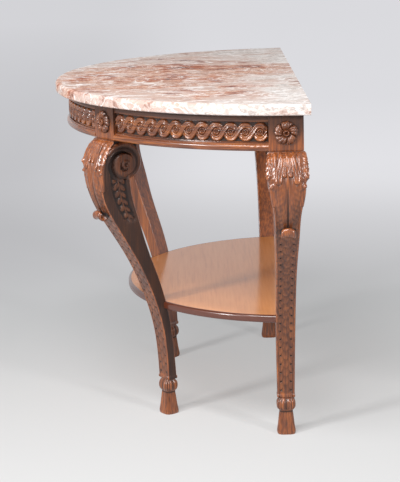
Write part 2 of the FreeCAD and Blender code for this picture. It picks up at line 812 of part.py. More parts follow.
# The shelf: a half round board with a rounded front edge, notched round the legs.
body = new_body("shelf_board")
shelf_radius = f"({face_radius} - sizes.seat_inset + sizes.shelf_lap)"
outline = half_round_sketch(body, "shelf_outline", shelf_radius, "sizes.shelf_back")
board = pad(body, outline, "board", "sizes.shelf_thickness")
upper = round_arcs(body, board, "shelf_upper_round", "sizes.shelf_top_round", plain("shelf_thickness"))
round_arcs(body, upper, "shelf_lower_round", "sizes.shelf_foot_round", 0)
put(body, "0", centre_y, "sizes.shelf_height - sizes.shelf_thickness")
dowel_hole = "sizes.dowel_radius + sizes.dowel_clearance"
shelf_cuts, dowels = [], []
for leg in legs:
    notch = doc.addObject("Part::Box", f"{leg}_notch")
    notch.setExpression("Length", "sizes.block_depth")
    notch.setExpression("Width", f"2 * {half_block} * {width_shares[-2][1]} + 2 * sizes.joint_clearance")
    notch.setExpression("Height", "sizes.shelf_thickness")
    across = f"-{half_block} * {width_shares[-2][1]} - sizes.joint_clearance"
    put_at_leg(notch, leg, "-sizes.seat_inset", across, "sizes.shelf_height - sizes.shelf_thickness")
    shelf_cuts.append(notch)
    for side in ("", "-"):
        for kind, radius, long in (
            ("hole", dowel_hole, "sizes.dowel_in_shelf + sizes.mortise_spare"),
            ("dowel", "sizes.dowel_radius", "sizes.dowel_in_shelf + sizes.dowel_in_leg"),
        ):
            rod = doc.addObject("Part::Cylinder", f"{leg}_{kind}")
            rod.setExpression("Radius", radius)
            rod.setExpression("Height", long)
            start = "-sizes.seat_inset - sizes.dowel_in_shelf"
            if kind == "hole":
                start += " - sizes.mortise_spare"
            height = "sizes.shelf_height - sizes.shelf_thickness / 2"
            put_at_leg(rod, leg, start, f"{side}sizes.dowel_spread", height, "90")
            (shelf_cuts if kind == "hole" else dowels).append(rod)
shelf_cuts = joined("Part::Compound", "shelf_cuts", Links=shelf_cuts)
nodes.append(joined("Part::Cut", "shelf", Base=body, Tool=shelf_cuts))
nodes.append(joined("Part::Compound", "shelf_dowels", Links=dowels))

# Glue blocks in the corners inside the frame, scribed to the rails.
inside = Part.makeCylinder(number(rail_inner), plain("table_height"), Vector(0, number(centre_y), 0))


def glue_block(leg, sides):
    """Three-cornered blocks against a block's side and the rail that meets it."""
    size, inset = plain("glue_block_leg"), plain("glue_block_inset")
    low, tall = block_level + inset, plain("apron_height") - plain("bearer_thickness") - 2 * inset
    x, y, turn = (number(text) for text in legs[leg])
    pieces = []
    for side in sides:
        wall = -plain("block_depth") + inset
        corner = Vector(number(tenon_out(leg)), side * half_width, low)
        corners = [corner, Vector(wall, corner.y, low), Vector(corner.x, corner.y + side * size, low)]
        prism = Part.Face(Part.makePolygon(corners + corners[:1])).extrude(Vector(0, 0, tall))
        prism.rotate(Vector(0, 0, 0), Vector(0, 0, 1), turn)
        prism.translate(Vector(x, y, 0))
        pieces.append(prism.common(inside))
    if "back" in leg:
        side = 1 if "right" in leg else -1
        rail_face = side * (half_width - plain("back_rail_thickness"))
        corner = Vector(-plain("block_depth"), rail_face, low)
        corners = [
            corner,
            Vector(corner.x, rail_face - side * size, low),
            Vector(corner.x - size, rail_face, low),
        ]
        prism = Part.Face(Part.makePolygon(corners + corners[:1])).extrude(Vector(0, 0, tall))
        prism.rotate(Vector(0, 0, 0), Vector(0, 0, 1), turn)
        prism.translate(Vector(x, y, 0))
        pieces.append(prism)
    return Part.makeCompound(pieces)


for leg in legs:
    sides = (1, -1) if "front" in leg else (-1 if "right" in leg else 1,)
    pair = doc.addObject("Part::Feature", f"{leg}_glue_blocks")
    pair.Label = f"{leg}_glue_blocks"
    pair.Shape = glue_block(leg, sides)
    nodes.append(pair)

doc.recompute()
for thing in doc.Objects:
    if "Invalid" in thing.State or "Error" in thing.State:
        raise RuntimeError(f"{thing.Label} did not build")
os.makedirs("parts", exist_ok=True)
for node in nodes:
    if node.Shape.isNull() or not node.Shape.isValid() or not node.Shape.Solids:
        raise RuntimeError(f"{node.Label} has no sound solid")
    node.Shape.exportStep(f"parts/{node.Label}.step")
    print(node.Label, len(node.Shape.Solids), round(node.Shape.Volume))
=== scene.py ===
import math

import bmesh
import bpy
import numpy as np
from mathutils import Matrix, Vector


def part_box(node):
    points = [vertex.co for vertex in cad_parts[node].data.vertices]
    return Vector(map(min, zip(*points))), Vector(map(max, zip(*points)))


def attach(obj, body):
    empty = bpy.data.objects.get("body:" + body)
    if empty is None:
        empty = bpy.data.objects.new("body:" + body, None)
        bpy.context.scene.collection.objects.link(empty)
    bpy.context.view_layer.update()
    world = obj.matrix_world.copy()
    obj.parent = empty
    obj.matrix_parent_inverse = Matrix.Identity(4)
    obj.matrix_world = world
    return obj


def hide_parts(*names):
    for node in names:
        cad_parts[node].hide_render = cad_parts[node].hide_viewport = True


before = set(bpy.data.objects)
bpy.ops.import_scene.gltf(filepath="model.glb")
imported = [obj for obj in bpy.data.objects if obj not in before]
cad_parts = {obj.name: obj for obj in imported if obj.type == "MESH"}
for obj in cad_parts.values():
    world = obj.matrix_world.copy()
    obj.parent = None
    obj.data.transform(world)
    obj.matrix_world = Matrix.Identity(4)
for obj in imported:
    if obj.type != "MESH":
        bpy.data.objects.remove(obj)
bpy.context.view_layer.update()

mm = 0.001
scene = bpy.context.scene
scene.view_settings.view_transform = "Standard"
print("frame loaded:", len(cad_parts), "nodes")


def linear(hexColour):
    # sRGB hex to linear: the straight foot below 0.04045, the 2.4 power above it
    c = np.array([int(hexColour[i:i + 2], 16) for i in (1, 3, 5)]) / 255
    c = np.where(c <= 0.04045, c / 12.92, ((c + 0.055) / 1.055) ** 2.4)
    return (*c.tolist(), 1.0)


def addNode(tree, kind, inputs=None, stops=None, **settings):
    # one node with its settings; an input is a value, a socket, or a node that feeds it by its first output.
    # MapRange reads between inputs 1 and 2 and gives 3 to 4; Mix takes numbers at 2 and 3, colours at 6 and 7
    node = tree.nodes.new("ShaderNode" + kind)
    for name, value in settings.items():
        setattr(node, name, value)
    for name, value in (inputs or {}).items():
        if isinstance(value, bpy.types.Node):
            value = value.outputs[0]
        if isinstance(value, bpy.types.NodeSocket):
            tree.links.new(value, node.inputs[name])
        else:
            node.inputs[name].default_value = value
    for place, (at, colour) in enumerate(stops or []):
        ramp = node.color_ramp.elements
        stop = ramp[place] if place < len(ramp) else ramp.new(at)
        stop.position, stop.color = at, linear(colour)
    return node


def newMaterial(name):
    material = bpy.data.materials.new(name)
    material.use_nodes = True
    material.node_tree.nodes.clear()
    return material, material.node_tree


def zeroToOne(x):
    return np.clip(x, 0, 1)


def smooth(x):
    # 0 below 0, 1 above 1, and the cubic 3x^2 - 2x^3 between
    x = zeroToOne(x)
    return x * x * (3 - 2 * x)


def rise(x, ends):
    # smooth step from 0 at the first end to 1 at the second, which may lie below it
    return smooth((x - ends[0]) / (ends[1] - ends[0]))


def bell(x, at=0, half=1, power=2):
    # 1 at its middle, falling both ways: the exponential of minus the distance in half widths, to the power
    return np.exp(-np.abs((x - at) / half) ** power)


def dome(x, power=2):
    # a round top over -1 to 1: the root of 1 less |x| to the power, flatter for a higher power
    return np.sqrt(zeroToOne(1 - np.abs(x) ** power))


def runAlong(points):
    # length of the line up to each of its points
    return np.concatenate([[0], np.cumsum(np.linalg.norm(np.diff(points, axis=0), axis=1))])


def splineThrough(points, count):
    # natural cubic spline through the points, by the length of the chords, read at even steps:
    # the bends at the points solve a three-banded set of sums, and a cubic joins each point to the next
    points = np.asarray(points, float)
    run, last = runAlong(points), len(points) - 1
    gaps, inner = np.diff(run), np.arange(1, last)
    bands, sums = np.zeros((last + 1, last + 1)), np.zeros_like(points)
    bands[0, 0] = bands[last, last] = 1
    bands[inner, inner - 1], bands[inner, inner + 1] = gaps[:-1], gaps[1:]
    bands[inner, inner] = 2 * (gaps[:-1] + gaps[1:])
    sums[1:-1] = 6 * np.diff(np.diff(points, axis=0) / gaps[:, None], axis=0)
    bends = np.linalg.solve(bands, sums)
    at = np.linspace(0, run[-1], count)
    k = np.clip(np.searchsorted(run, at, side="right") - 1, 0, last - 1)
    past, left, gap = (at - run[k])[:, None], (run[k + 1] - at)[:, None], gaps[k][:, None]
    bent = (bends[k] * left ** 3 + bends[k + 1] * past ** 3) / (6 * gap)
    straight = (points[k] / gap - bends[k] * gap / 6) * left
    return bent + straight + (points[k + 1] / gap - bends[k + 1] * gap / 6) * past


meshing = {"weld": 0.01, "sharpAngle": 60}   # mm, degrees


def makePiece(name, grids, material, node):
    # each grid is (points in mm, closed across, hollow): quads between neighbours, then the seams welded
    places, faces, hollows, start = [], [], [], 0
    for points, closed, hollow in grids:
        rows, columns = points.shape[:2]
        index = np.arange(rows * columns).reshape(rows, columns) + start
        if closed:
            index = np.concatenate([index, index[:, :1]], axis=1)
        corners = (index[:-1, :-1], index[:-1, 1:], index[1:, 1:], index[1:, :-1])
        faces.append(np.stack(corners, axis=-1).reshape(-1, 4))
        places.append(points.reshape(-1, 3) * mm)
        hollows.append(np.broadcast_to(hollow, (rows, columns)).ravel())
        start += rows * columns
    places, faces, hollows = map(np.concatenate, (places, faces, hollows))
    mesh = bpy.data.meshes.new(name)
    mesh.vertices.add(len(places))
    mesh.vertices.foreach_set("co", places.astype(np.float32).ravel())
    mesh.loops.add(faces.size)
    mesh.loops.foreach_set("vertex_index", faces.astype(np.int32).ravel())
    mesh.polygons.add(len(faces))
    mesh.polygons.foreach_set("loop_start", np.arange(0, faces.size, 4, dtype=np.int32))
    mesh.update(calc_edges=True)
    mesh.attributes.new("hollow", "FLOAT", "POINT").data.foreach_set("value", hollows.astype(np.float32))
    shell = bmesh.new()
    shell.from_mesh(mesh)
    bmesh.ops.remove_doubles(shell, verts=shell.verts, dist=meshing["weld"] * mm)
    bmesh.ops.recalc_face_normals(shell, faces=shell.faces)
    shell.to_mesh(mesh)
    shell.free()
    mesh.polygons.foreach_set("use_smooth", np.ones(len(mesh.polygons), dtype=bool))
    mesh.set_sharp_from_angle(angle=math.radians(meshing["sharpAngle"]))
    mesh.materials.append(material)
    piece = bpy.data.objects.new(name, mesh)
    scene.collection.objects.link(piece)
    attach(piece, "frame")
    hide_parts(node)


# Where things stand, in mm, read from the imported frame
topLow, topHigh = (np.array(corner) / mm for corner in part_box("marble_top"))
slabRadius, wallY, apronTop = (topHigh[0] - topLow[0]) / 2, topHigh[1], topLow[2]
table = {"overhang": 28, "apron": 85, "block": 80, "backMargin": 15, "frontLegAngle": 54.3}
faceRadius = slabRadius - table["overhang"]
blockLevel = apronTop - table["apron"]
halfBlock = table["block"] / 2
backLegY = wallY - table["backMargin"] - halfBlock
frontTurn = math.radians(table["frontLegAngle"])
frontLegX, frontLegY = faceRadius * math.cos(frontTurn), wallY - faceRadius * math.sin(frontTurn)
legPlaces = {   # x, y of the block's face and the way it looks
    "right_back": (faceRadius, backLegY, 0.0),
    "right_front": (frontLegX, frontLegY, -frontTurn),
    "left_front": (-frontLegX, frontLegY, frontTurn - math.pi),
    "left_back": (-faceRadius, backLegY, math.pi),
}


def atLeg(points, leg):
    # from a leg's own out, across and up to the table's x, y and z
    x, y, turn = legPlaces[leg]
    c, s = math.cos(turn), math.sin(turn)
    out, across, up = points[..., 0], points[..., 1], points[..., 2]
    return np.stack([x + out * c - across * s, y + out * s + across * c, up], axis=-1)


# French-polished mahogany: red-brown, darker pores along the grain, a thin shellac gloss; the hollow colour
# is dirt and painted shade in the recesses, and painted shade on the wall sides and under the slab
mahogany = {
    "pale": "#b0632a", "mid": "#7d411d", "dark": "#462413", "hollow": "#1e100b",
    "grainWidth": 3.5, "grainLength": 70, "figureWidth": 24, "figureLength": 240,   # mm, 3x coarse to show
    "roughness": 0.3, "glossSpread": 0.08, "coat": 0.8, "coatRoughness": 0.21, "bump": 0.05,
    "hollowRoughness": 0.75, "hollowCoat": 0.15,   # dirt dulls the shellac
}
friezeShade = {   # the frieze's wood is painted darker than the legs', a painted shade under the slab, and darker still over some mm below the slab, a painted shadow of its overhang
    "pale": "#a9622a", "mid": "#723c1e", "dark": "#3d1e10", "shadeFrom": 19, "shadeTo": 13, "dirtShade": 0.72,
}
woodGrain = {   # alike in every wood
    "grainDetail": 3, "figureDetail": 2, "noiseRoughness": 0.55, "figureShare": 0.36,
    "darkAt": 0.32, "midAt": 0.48, "paleAt": 0.66, "bumpDepth": 0.6, "ior": 1.5,
}


def polishedWood(name, wood, along):
    # fine and coarse noise stretched along the grain: "up" in legs, "round" in rails, "across" in boards
    material, tree = newMaterial(name)
    place = addNode(tree, "TexCoord").outputs["Object"]
    hollow = addNode(tree, "Attribute", attribute_name="hollow").outputs["Fac"]
    if along == "round":   # the angle about the middle of the wall edge, times the radius, is along the grain
        part = addNode(tree, "SeparateXYZ", {"Vector": place})
        away = addNode(tree, "Math", {0: part.outputs["Y"], 1: wallY * mm}, operation="SUBTRACT")
        turn = addNode(tree, "Math", {0: away, 1: part.outputs["X"]}, operation="ARCTAN2")
        run = addNode(tree, "Math", {0: turn, 1: faceRadius * mm}, operation="MULTIPLY")
        place = addNode(tree, "CombineXYZ", {"X": run, "Y": part.outputs["Z"]})
        # painted shadow of the slab's overhang: darker over the last mm below the slab
        under = addNode(tree, "MapRange", {
            "Value": part.outputs["Z"], 3: 0.0, 4: wood["dirtShade"],
            1: (apronTop - wood["shadeFrom"]) * mm, 2: (apronTop - wood["shadeTo"]) * mm})
        hollow = addNode(tree, "Math", {0: hollow, 1: under}, operation="MAXIMUM")
    longAxis = 2 if along == "up" else 0
    patterns = []
    for kind in ("grain", "figure"):
        scale = [1 / (wood[kind + "Width"] * mm)] * 3
        scale[longAxis] = 1 / (wood[kind + "Length"] * mm)
        spot = addNode(tree, "VectorMath", {0: place, 1: scale}, operation="MULTIPLY")
        patterns.append(addNode(tree, "TexNoise", {
            "Vector": spot, "Scale": 1, "Detail": woodGrain[kind + "Detail"],
            "Roughness": woodGrain["noiseRoughness"]}).outputs["Fac"])
    grain, figure = patterns
    both = addNode(tree, "Mix", {"Factor": woodGrain["figureShare"], 2: grain, 3: figure})
    stops = [(woodGrain[shade + "At"], wood[shade]) for shade in ("dark", "mid", "pale")]
    tone = addNode(tree, "ValToRGB", {"Fac": both}, stops)
    # the hollow colour over the tone: dirt and painted shade in the recesses, painted shade where the
    # attribute marks sides and tops
    tint = addNode(tree, "Mix", {"Factor": hollow, 6: tone, 7: linear(wood["hollow"])}, data_type="RGBA")
    mattest, glossiest = wood["roughness"] + wood["glossSpread"], wood["roughness"] - wood["glossSpread"]
    gloss = addNode(tree, "MapRange", {"Value": both, 3: glossiest, 4: mattest})
    dull = addNode(tree, "Mix", {"Factor": hollow, 2: gloss, 3: wood["hollowRoughness"]})
    coat = addNode(tree, "MapRange", {"Value": hollow, 3: wood["coat"], 4: wood["hollowCoat"]})
    bump = addNode(tree, "Bump", {
        "Height": grain, "Strength": wood["bump"], "Distance": woodGrain["bumpDepth"] * mm})
    shader = addNode(tree, "BsdfPrincipled", {
        "Base Color": tint.outputs[2], "Roughness": dull, "Normal": bump,
        "IOR": woodGrain["ior"], "Coat Weight": coat, "Coat Roughness": wood["coatRoughness"],
    })
    addNode(tree, "OutputMaterial", {"Surface": shader})
    return material


legWood = polishedWood("mahogany_french_polished_upright", mahogany, "up")
# the frieze's wood is a darker copy of the legs', painted in shade
railWood = polishedWood("mahogany_french_polished_round", {**mahogany, **friezeShade}, "round")

# Carved legs, worked in each leg's own frame: u out from the block's face, v across, z up
legShape = {
    "ankle": 93, "kneeReach": 37, "footInset": 170, "eyeInset": 33, "eyeDrop": 61, "cutFront": 606,
    "coilRadius": 54, "coilWind": 0.123, "coilTurns": (0.25, 0.9), "brimTurns": (-0.3, 0.25),   # half turns
    "arris": 2.5, "coilSteps": 200, "brimSteps": 60, "lineSteps": 900, "widthSteps": 600,
    "wallSideShade": 0.88, "roomSideShade": 0.06,   # painted shade: the side towards the wall is painted far darker than the other
    # shares of the drop, then of the knee's reach and the foot's inset, or of the block's half width
    "frontShares": [(0.05, 0.70, 0), (0.124, 1, 0), (0.22, 0.78, 0), (0.313, 0, 0), (0.467, 0, 0.357),
                    (0.656, 0, 0.685), (0.8, 0, 0.835), (1, 0, 0.895)],
    "backShares": [(0.2, 0.3), (0.265, 0.37), (0.335, 0.455), (0.415, 0.55), (0.579, 0.78), (0.706, 0.915),
                   (0.825, 0.99), (1, 1.05)],
    "widthShares": [(0.08, 1), (0.13, 1), (0.22, 0.78), (0.3, 0.71), (0.415, 0.64), (0.675, 0.59),
                    (1, 0.525)],
}
drop = blockLevel - legShape["ankle"]
eyeU, eyeZ = -legShape["eyeInset"], blockLevel - legShape["eyeDrop"]


def coilReach(turn):
    # the coil's radius shrinks by a fixed share per turn
    return legShape["coilRadius"] * np.exp(-legShape["coilWind"] * turn)


def coilLine(halfTurns, count):
    # points on the coil's outline, turning from the top towards the back
    turn = np.linspace(*halfTurns, count) * np.pi
    reach = coilReach(turn)
    return np.stack([eyeU - reach * np.sin(turn), eyeZ + reach * np.cos(turn)], axis=1)


spiralLine = coilLine(legShape["coilTurns"], legShape["coilSteps"])
frontLine = splineThrough([(0, blockLevel)] + [
    (reach * legShape["kneeReach"] - inset * legShape["footInset"], blockLevel - down * drop)
    for down, reach, inset in legShape["frontShares"]], legShape["lineSteps"])
backLine = splineThrough([tuple(spiralLine[-1])] + [
    (-inset * legShape["footInset"], blockLevel - down * drop)
    for down, inset in legShape["backShares"]], legShape["lineSteps"])
widthLine = splineThrough([
    (share * halfBlock, blockLevel - down * drop)
    for down, share in legShape["widthShares"]], legShape["widthSteps"])
frontRun = runAlong(frontLine)


def frontAt(z):
    return np.interp(z, frontLine[::-1, 1], frontLine[::-1, 0])


def backAt(z):
    return np.interp(z, backLine[::-1, 1], backLine[::-1, 0])


def halfWidthAt(z):
    return np.minimum(np.interp(z, widthLine[::-1, 1], widthLine[::-1, 0]), halfBlock)


scroll = {
    # the sunk channel round the coil: half turns from the top towards the back, its edges and its depth
    "turn": [1.1, 1.25, 1.5, 1.75, 2.0, 2.25, 2.5], "inner": [36, 35.5, 34, 30, 25.5, 24, 23],
    "outer": [46, 49, 51, 43, 32, 27, 24], "depth": [4, 8, 10, 10, 9, 4, 0], "soft": 2.2,
    # the crescent by the eye, in the same way
    "crescentTurn": [0.75, 1.0, 1.25, 1.5, 1.8], "crescentOuter": [12.5, 16.5, 19, 16.5, 12.5],
    "crescentDepth": [0, 4.5, 6.5, 4.5, 0], "crescentInner": (11, 12.5), "crescentSoft": 1.5,
    # the eye: a low disc, a ring on it and a pit in the middle, each by the radii where it begins and is full
    "disc": (33, 25), "discLift": 1.8, "ring": (11.5, 9.5), "ringLift": 2.0, "pit": (5.2, 3.2), "pitDepth": 5,
    # darker in the channel, the crescent and the pit: dirt and painted shade
    "dirtShade": 0.95, "dirtShadeDepth": 7,
    # the raised rim and the groove inside it: distance from the outline and half width
    "rim": (4.8, 3.6), "rimHeight": 1.8, "groove": (11.6, 2.2), "grooveShare": 0.7, "grooveDirtShade": 0.8,
    "dirtShadeGap": (4, 7), "shadeGap": (1, 6), "carvedGap": (1, 5),   # where these begin and are full
    "crest": (33, 27), "crestShade": 0.55,   # share of the sides' painted shade that is left on what stands up
    # the sunk corner over the coil, under the block, painted in full shade
    "cornerDepth": 3.5, "cornerTurns": (-0.34, 0.3), "cornerSoft": 2, "cornerFade": 0.1,
    # the band round the coil's back, sunk between two borders
    "bandSunk": 2.0, "bandShares": (0.72, 0.6), "bandCosines": (-0.05, -0.25), "bandRows": 11,
    "rays": 248, "rings": 41, "crowding": 1.25,   # the rings crowd towards the outline
}
panelSet = {   # the sunk panel below the coil, with its leaf of paired lobes
    "bandLevel": [520, 600, 650, 690], "band": [31, 28, 24, 21], "backBand": 8,   # plain bands beside it
    "foot": (516, 532), "sunk": 5.0, "soft": 3, "coil": (35.5, 37.5), "eyeSoft": 6,
    "rows": 6, "top": 634, "pitch": 19, "staggerShare": 0.2, "shrinkShare": 0.06, "tilt": 36,
    "spread": 9, "length": 13, "half": 6.5, "height": 5.0, "tipShare": 0.25, "vein": 1.3, "veinShare": 0.2,
    # darker where the panel sinks below its leaf: dirt and painted shade
    "midrib": 3.4, "midribHalf": 2.2, "dirtShade": 1.2, "dirtShadeHeight": 4,
}


def panelLeaf(aside, z):
    # paired lobes down a midrib: each a tilted half egg with a vein, the highest at each place
    height = panelSet["midrib"] * bell(aside / panelSet["midribHalf"])
    for row in range(panelSet["rows"]):
        size = 1 - panelSet["shrinkShare"] * row
        for way in (1, -1):
            level = panelSet["top"] - panelSet["pitch"] * (row + panelSet["staggerShare"] * (way < 0))
            tilt = math.radians(panelSet["tilt"]) * way
            across, down = aside - way * panelSet["spread"] * size, level - z
            along = (across * math.sin(tilt) + down * math.cos(tilt)) / (panelSet["length"] * size)
            cross = (across * math.cos(tilt) - down * math.sin(tilt)) / (panelSet["half"] * size)
            crown = panelSet["height"] * (1 - panelSet["tipShare"] * (1 - along))
            crown = crown - panelSet["vein"] * bell(cross / panelSet["veinShare"])
            height = np.maximum(height, dome(np.hypot(along, cross)) * crown)
    return height


def sideCarving(u, z):
    # cut of the channel between its two edges, crescent and ring of the eye, and the panel below the coil;
    # gives the relief, the dirt and painted shade in its recesses and how far the panel's leaf stands up
    r = np.hypot(u - eyeU, z - eyeZ)
    turn = np.mod(np.arctan2(eyeU - u, z - eyeZ), 2 * np.pi) / np.pi
    cut = scroll["pitDepth"] * rise(r, scroll["pit"])
    for wind in (turn, turn + 2):
        inner, outer = (np.interp(wind, scroll["turn"], scroll[key]) for key in ("inner", "outer"))
        depth = np.interp(wind, scroll["turn"], scroll["depth"], left=0, right=0)
        cut += depth * smooth((r - inner) / scroll["soft"]) * smooth((outer - r) / scroll["soft"])
    outer = np.interp(turn, scroll["crescentTurn"], scroll["crescentOuter"])
    depth = np.interp(turn, scroll["crescentTurn"], scroll["crescentDepth"], left=0, right=0)
    cut += depth * rise(r, scroll["crescentInner"]) * smooth((outer - r) / scroll["crescentSoft"])
    lift = scroll["discLift"] * rise(r, scroll["disc"]) + scroll["ringLift"] * rise(r, scroll["ring"])
    front = frontAt(z) - np.interp(z, panelSet["bandLevel"], panelSet["band"])
    back = backAt(z) + panelSet["backBand"]
    panel = smooth((front - u) / panelSet["soft"]) * smooth((u - back) / panelSet["soft"])
    panel = panel * rise(z, panelSet["foot"]) * rise(r, panelSet["coil"])
    panel = panel * smooth((eyeZ - z) / panelSet["eyeSoft"])
    leaves = panelLeaf(u - (front + back) / 2, z)
    relief = lift + np.minimum(-cut, panel * (leaves - panelSet["sunk"]))
    # dirt and painted shade where the panel sinks and in the cuts
    dirtShade = panel * zeroToOne(panelSet["dirtShade"] - leaves / panelSet["dirtShadeHeight"])
    dirtShade = np.maximum(dirtShade, scroll["dirtShade"] * zeroToOne(cut / scroll["dirtShadeDepth"]))
    return relief, zeroToOne(dirtShade), panel * zeroToOne(leaves / panelSet["height"])


def ringLoft(rings, hollow):
    # closed rings stacked on each other, with a middle point at each end that closes it
    first, last = (np.broadcast_to(rings[i].mean(axis=0), rings[:1].shape) for i in (0, -1))
    hollow = np.broadcast_to(hollow, rings.shape[:2])
    return np.concatenate([first, rings, last]), True, np.concatenate([hollow[:1], hollow, hollow[-1:]])


def roundedLoop(front, side, corner, back):
    # once round a rectangle with round corners: the share of each half size, and the way the surface looks
    shares, looks = [], []
    for quarter, count in enumerate((front, side, back, side)):
        look = np.array([(1, 0), (0, 1), (-1, 0), (0, -1)][quarter])
        along = np.array([-look[1], look[0]])
        bend = np.radians(90 * quarter + np.linspace(0, 90, corner + 2)[1:-1])
        shares += [look + np.linspace(-1, 1, count)[:, None] * along, np.tile(look + along, (corner, 1))]
        looks += [np.tile(look, (count, 1)), np.stack([np.cos(bend), np.sin(bend)], axis=1)]
    return *np.concatenate(shares).T, *np.concatenate(looks).T


block = {
    # painted shade under the slab: the block is darker towards its top
    "loop": (6, 6, 3, 6), "rows": 12, "ease": 1.5, "darkening": 0.78, "shadeShares": (0.1, 0.7),
    "easeShares": [(0, 1), (0.3, 0.4)],   # rise and inset at the rounded ends
}


def blockGrid():
    # the square block over the leg: one rounded rectangle carried up, drawn in a little at both ends
    shareOut, shareAcross, lookOut, lookAcross = roundedLoop(*block["loop"])
    apron, ease, rows = table["apron"], block["ease"], block["rows"]
    up, inset = ease * np.array(block["easeShares"]).T
    level = np.concatenate([up, np.linspace(ease, apron - ease, rows), apron - up[::-1]])[:, None]
    inset = np.concatenate([inset, np.zeros(rows), inset[::-1]])[:, None]
    half = halfBlock - inset - ease
    u = -halfBlock + shareOut * half + lookOut * ease
    v = shareAcross * half + lookAcross * ease
    # painted shade, rising towards the slab
    darkening = block["darkening"] * rise(level / apron, block["shadeShares"])
    return ringLoft(np.stack([u, v, blockLevel + level + 0 * u], axis=-1), darkening)


def reachOfRays(outline, angle):
    # how far each ray from the eye runs to the nearest straight stretch of the outline that it crosses
    tiny, slack = 1e-9, 1e-6
    start, stretch = (outline[:-1] - (eyeU, eyeZ))[None], np.diff(outline, axis=0)[None]
    ray = np.stack([np.cos(angle), np.sin(angle)], axis=-1)[:, None]
    cross = ray[..., 0] * stretch[..., 1] - ray[..., 1] * stretch[..., 0]
    cross = np.where(np.abs(cross) < tiny, tiny, cross)
    reach = (start[..., 0] * stretch[..., 1] - start[..., 1] * stretch[..., 0]) / cross
    share = (start[..., 0] * ray[..., 1] - start[..., 1] * ray[..., 0]) / cross
    meets = (share >= -slack) & (share <= 1 + slack) & (reach > 0)
    return np.where(meets, reach, np.inf).min(axis=1)


def scrollGrids(sideShades):
    # each side is a polar grid from the eye to the outline, as high as the half width plus the carving;
    # a band round the outline joins the two sides
    cutZ, arris = legShape["cutFront"], legShape["arris"]
    frontPart = frontLine[frontLine[:, 1] >= cutZ]
    top = [(spiralLine[0, 0], blockLevel), (0, blockLevel)]
    outline = np.concatenate([frontPart, [(frontAt(cutZ), cutZ)], spiralLine[::-1], top])
    angle = np.linspace(0, 2 * np.pi, scroll["rays"], endpoint=False)
    ring = 1 - (1 - np.linspace(0, 1, scroll["rings"])) ** scroll["crowding"]
    reach = ring[:, None] * reachOfRays(outline, angle)
    u, z = eyeU + reach * np.cos(angle), eyeZ + reach * np.sin(angle)
    brim = coilLine(legShape["brimTurns"], legShape["brimSteps"])
    shown = np.concatenate([frontPart[::3], spiralLine[::2], brim])   # a part of the points is close enough
    gap = np.sqrt(((u[..., None] - shown[:, 0]) ** 2 + (z[..., None] - shown[:, 1]) ** 2).min(axis=-1))
    rounding = arris - np.sqrt(arris ** 2 - np.clip(arris - gap, 0, arris) ** 2)
    relief, hollow, crest = sideCarving(u, z)
    fromEye, turn = np.hypot(u - eyeU, z - eyeZ), np.arctan2(eyeU - u, z - eyeZ)
    (firstTurn, lastTurn), fade = np.pi * np.array(scroll["cornerTurns"]), scroll["cornerFade"]
    corner = smooth((turn - firstTurn) / fade) * smooth((lastTurn - turn) / fade)
    corner = corner * smooth((fromEye - coilReach(turn)) / scroll["cornerSoft"])
    rim, groove = (1 - corner) * bell(gap, *scroll["rim"]), bell(gap, *scroll["groove"])
    # the groove is darker with dirt and painted shade; the corner under the block is painted in full shade
    dirtShade = scroll["grooveDirtShade"] * groove * rise(gap, scroll["dirtShadeGap"])
    hollow = np.maximum(np.maximum(hollow, dirtShade), corner)
    # painted shade on the sides, lighter on the rim, the panel's leaves and the eye, fading out at the
    # outline
    raised = np.maximum(np.maximum(rim, crest), rise(fromEye, scroll["crest"]))
    darkening = (1 + (scroll["crestShade"] - 1) * raised) * rise(gap, scroll["shadeGap"])
    relief = relief * rise(gap, scroll["carvedGap"]) - scroll["cornerDepth"] * corner
    relief = relief + scroll["rimHeight"] * (rim - scroll["grooveShare"] * groove)
    side = halfWidthAt(z) - rounding + relief
    across = np.linspace(-1, 1, scroll["bandRows"])[:, None]
    sunk = scroll["bandSunk"] * rise(np.abs(across), scroll["bandShares"])
    sunk = sunk * rise(np.cos(angle), scroll["bandCosines"])
    band = np.stack([u[-1] - sunk * np.cos(angle), across * side[-1], z[-1] - sunk * np.sin(angle)], axis=-1)
    sides = [
        (np.stack([u, way * side, z], axis=-1), True, np.maximum(hollow, sideShade * darkening))
        for way, sideShade in zip((1, -1), sideShades)]
    return sides + [(band, True, 0.0)]


shaft = {
    "loop": (48, 25, 4, 7), "rows": 360, "sideShares": (1, 0.9),
    # the field is darker overall, and more in the gaps, the dots and the border line: dirt and painted shade
    "border": 5.5, "fieldSoft": 1.5, "sunk": 1.6, "darkening": 0.27, "gapDirtShade": 0.5, "gapDepth": 1.3,
    "scalePitch": 22.5, "scaleHeight": 1.9, "columnShare": 0.66, "longShare": 0.78, "wideShare": 0.66,
    "tailShare": 0.35, "tiltShare": 0.55, "roundShare": 0.35,
    "dot": (2.5, 1.1), "dotDepth": 2.2, "dotShare": 0.56, "dotShiftShare": 0.3,
    "line": (0.6, 0.9), "lineDepth": 1.0, "lineDirtShade": 0.8,   # place by the border and half width
    "cuff": 9, "scalesFrom": (11, 14), "cuffHeight": 2.2, "beads": 9, "beadShare": 0.45,
}


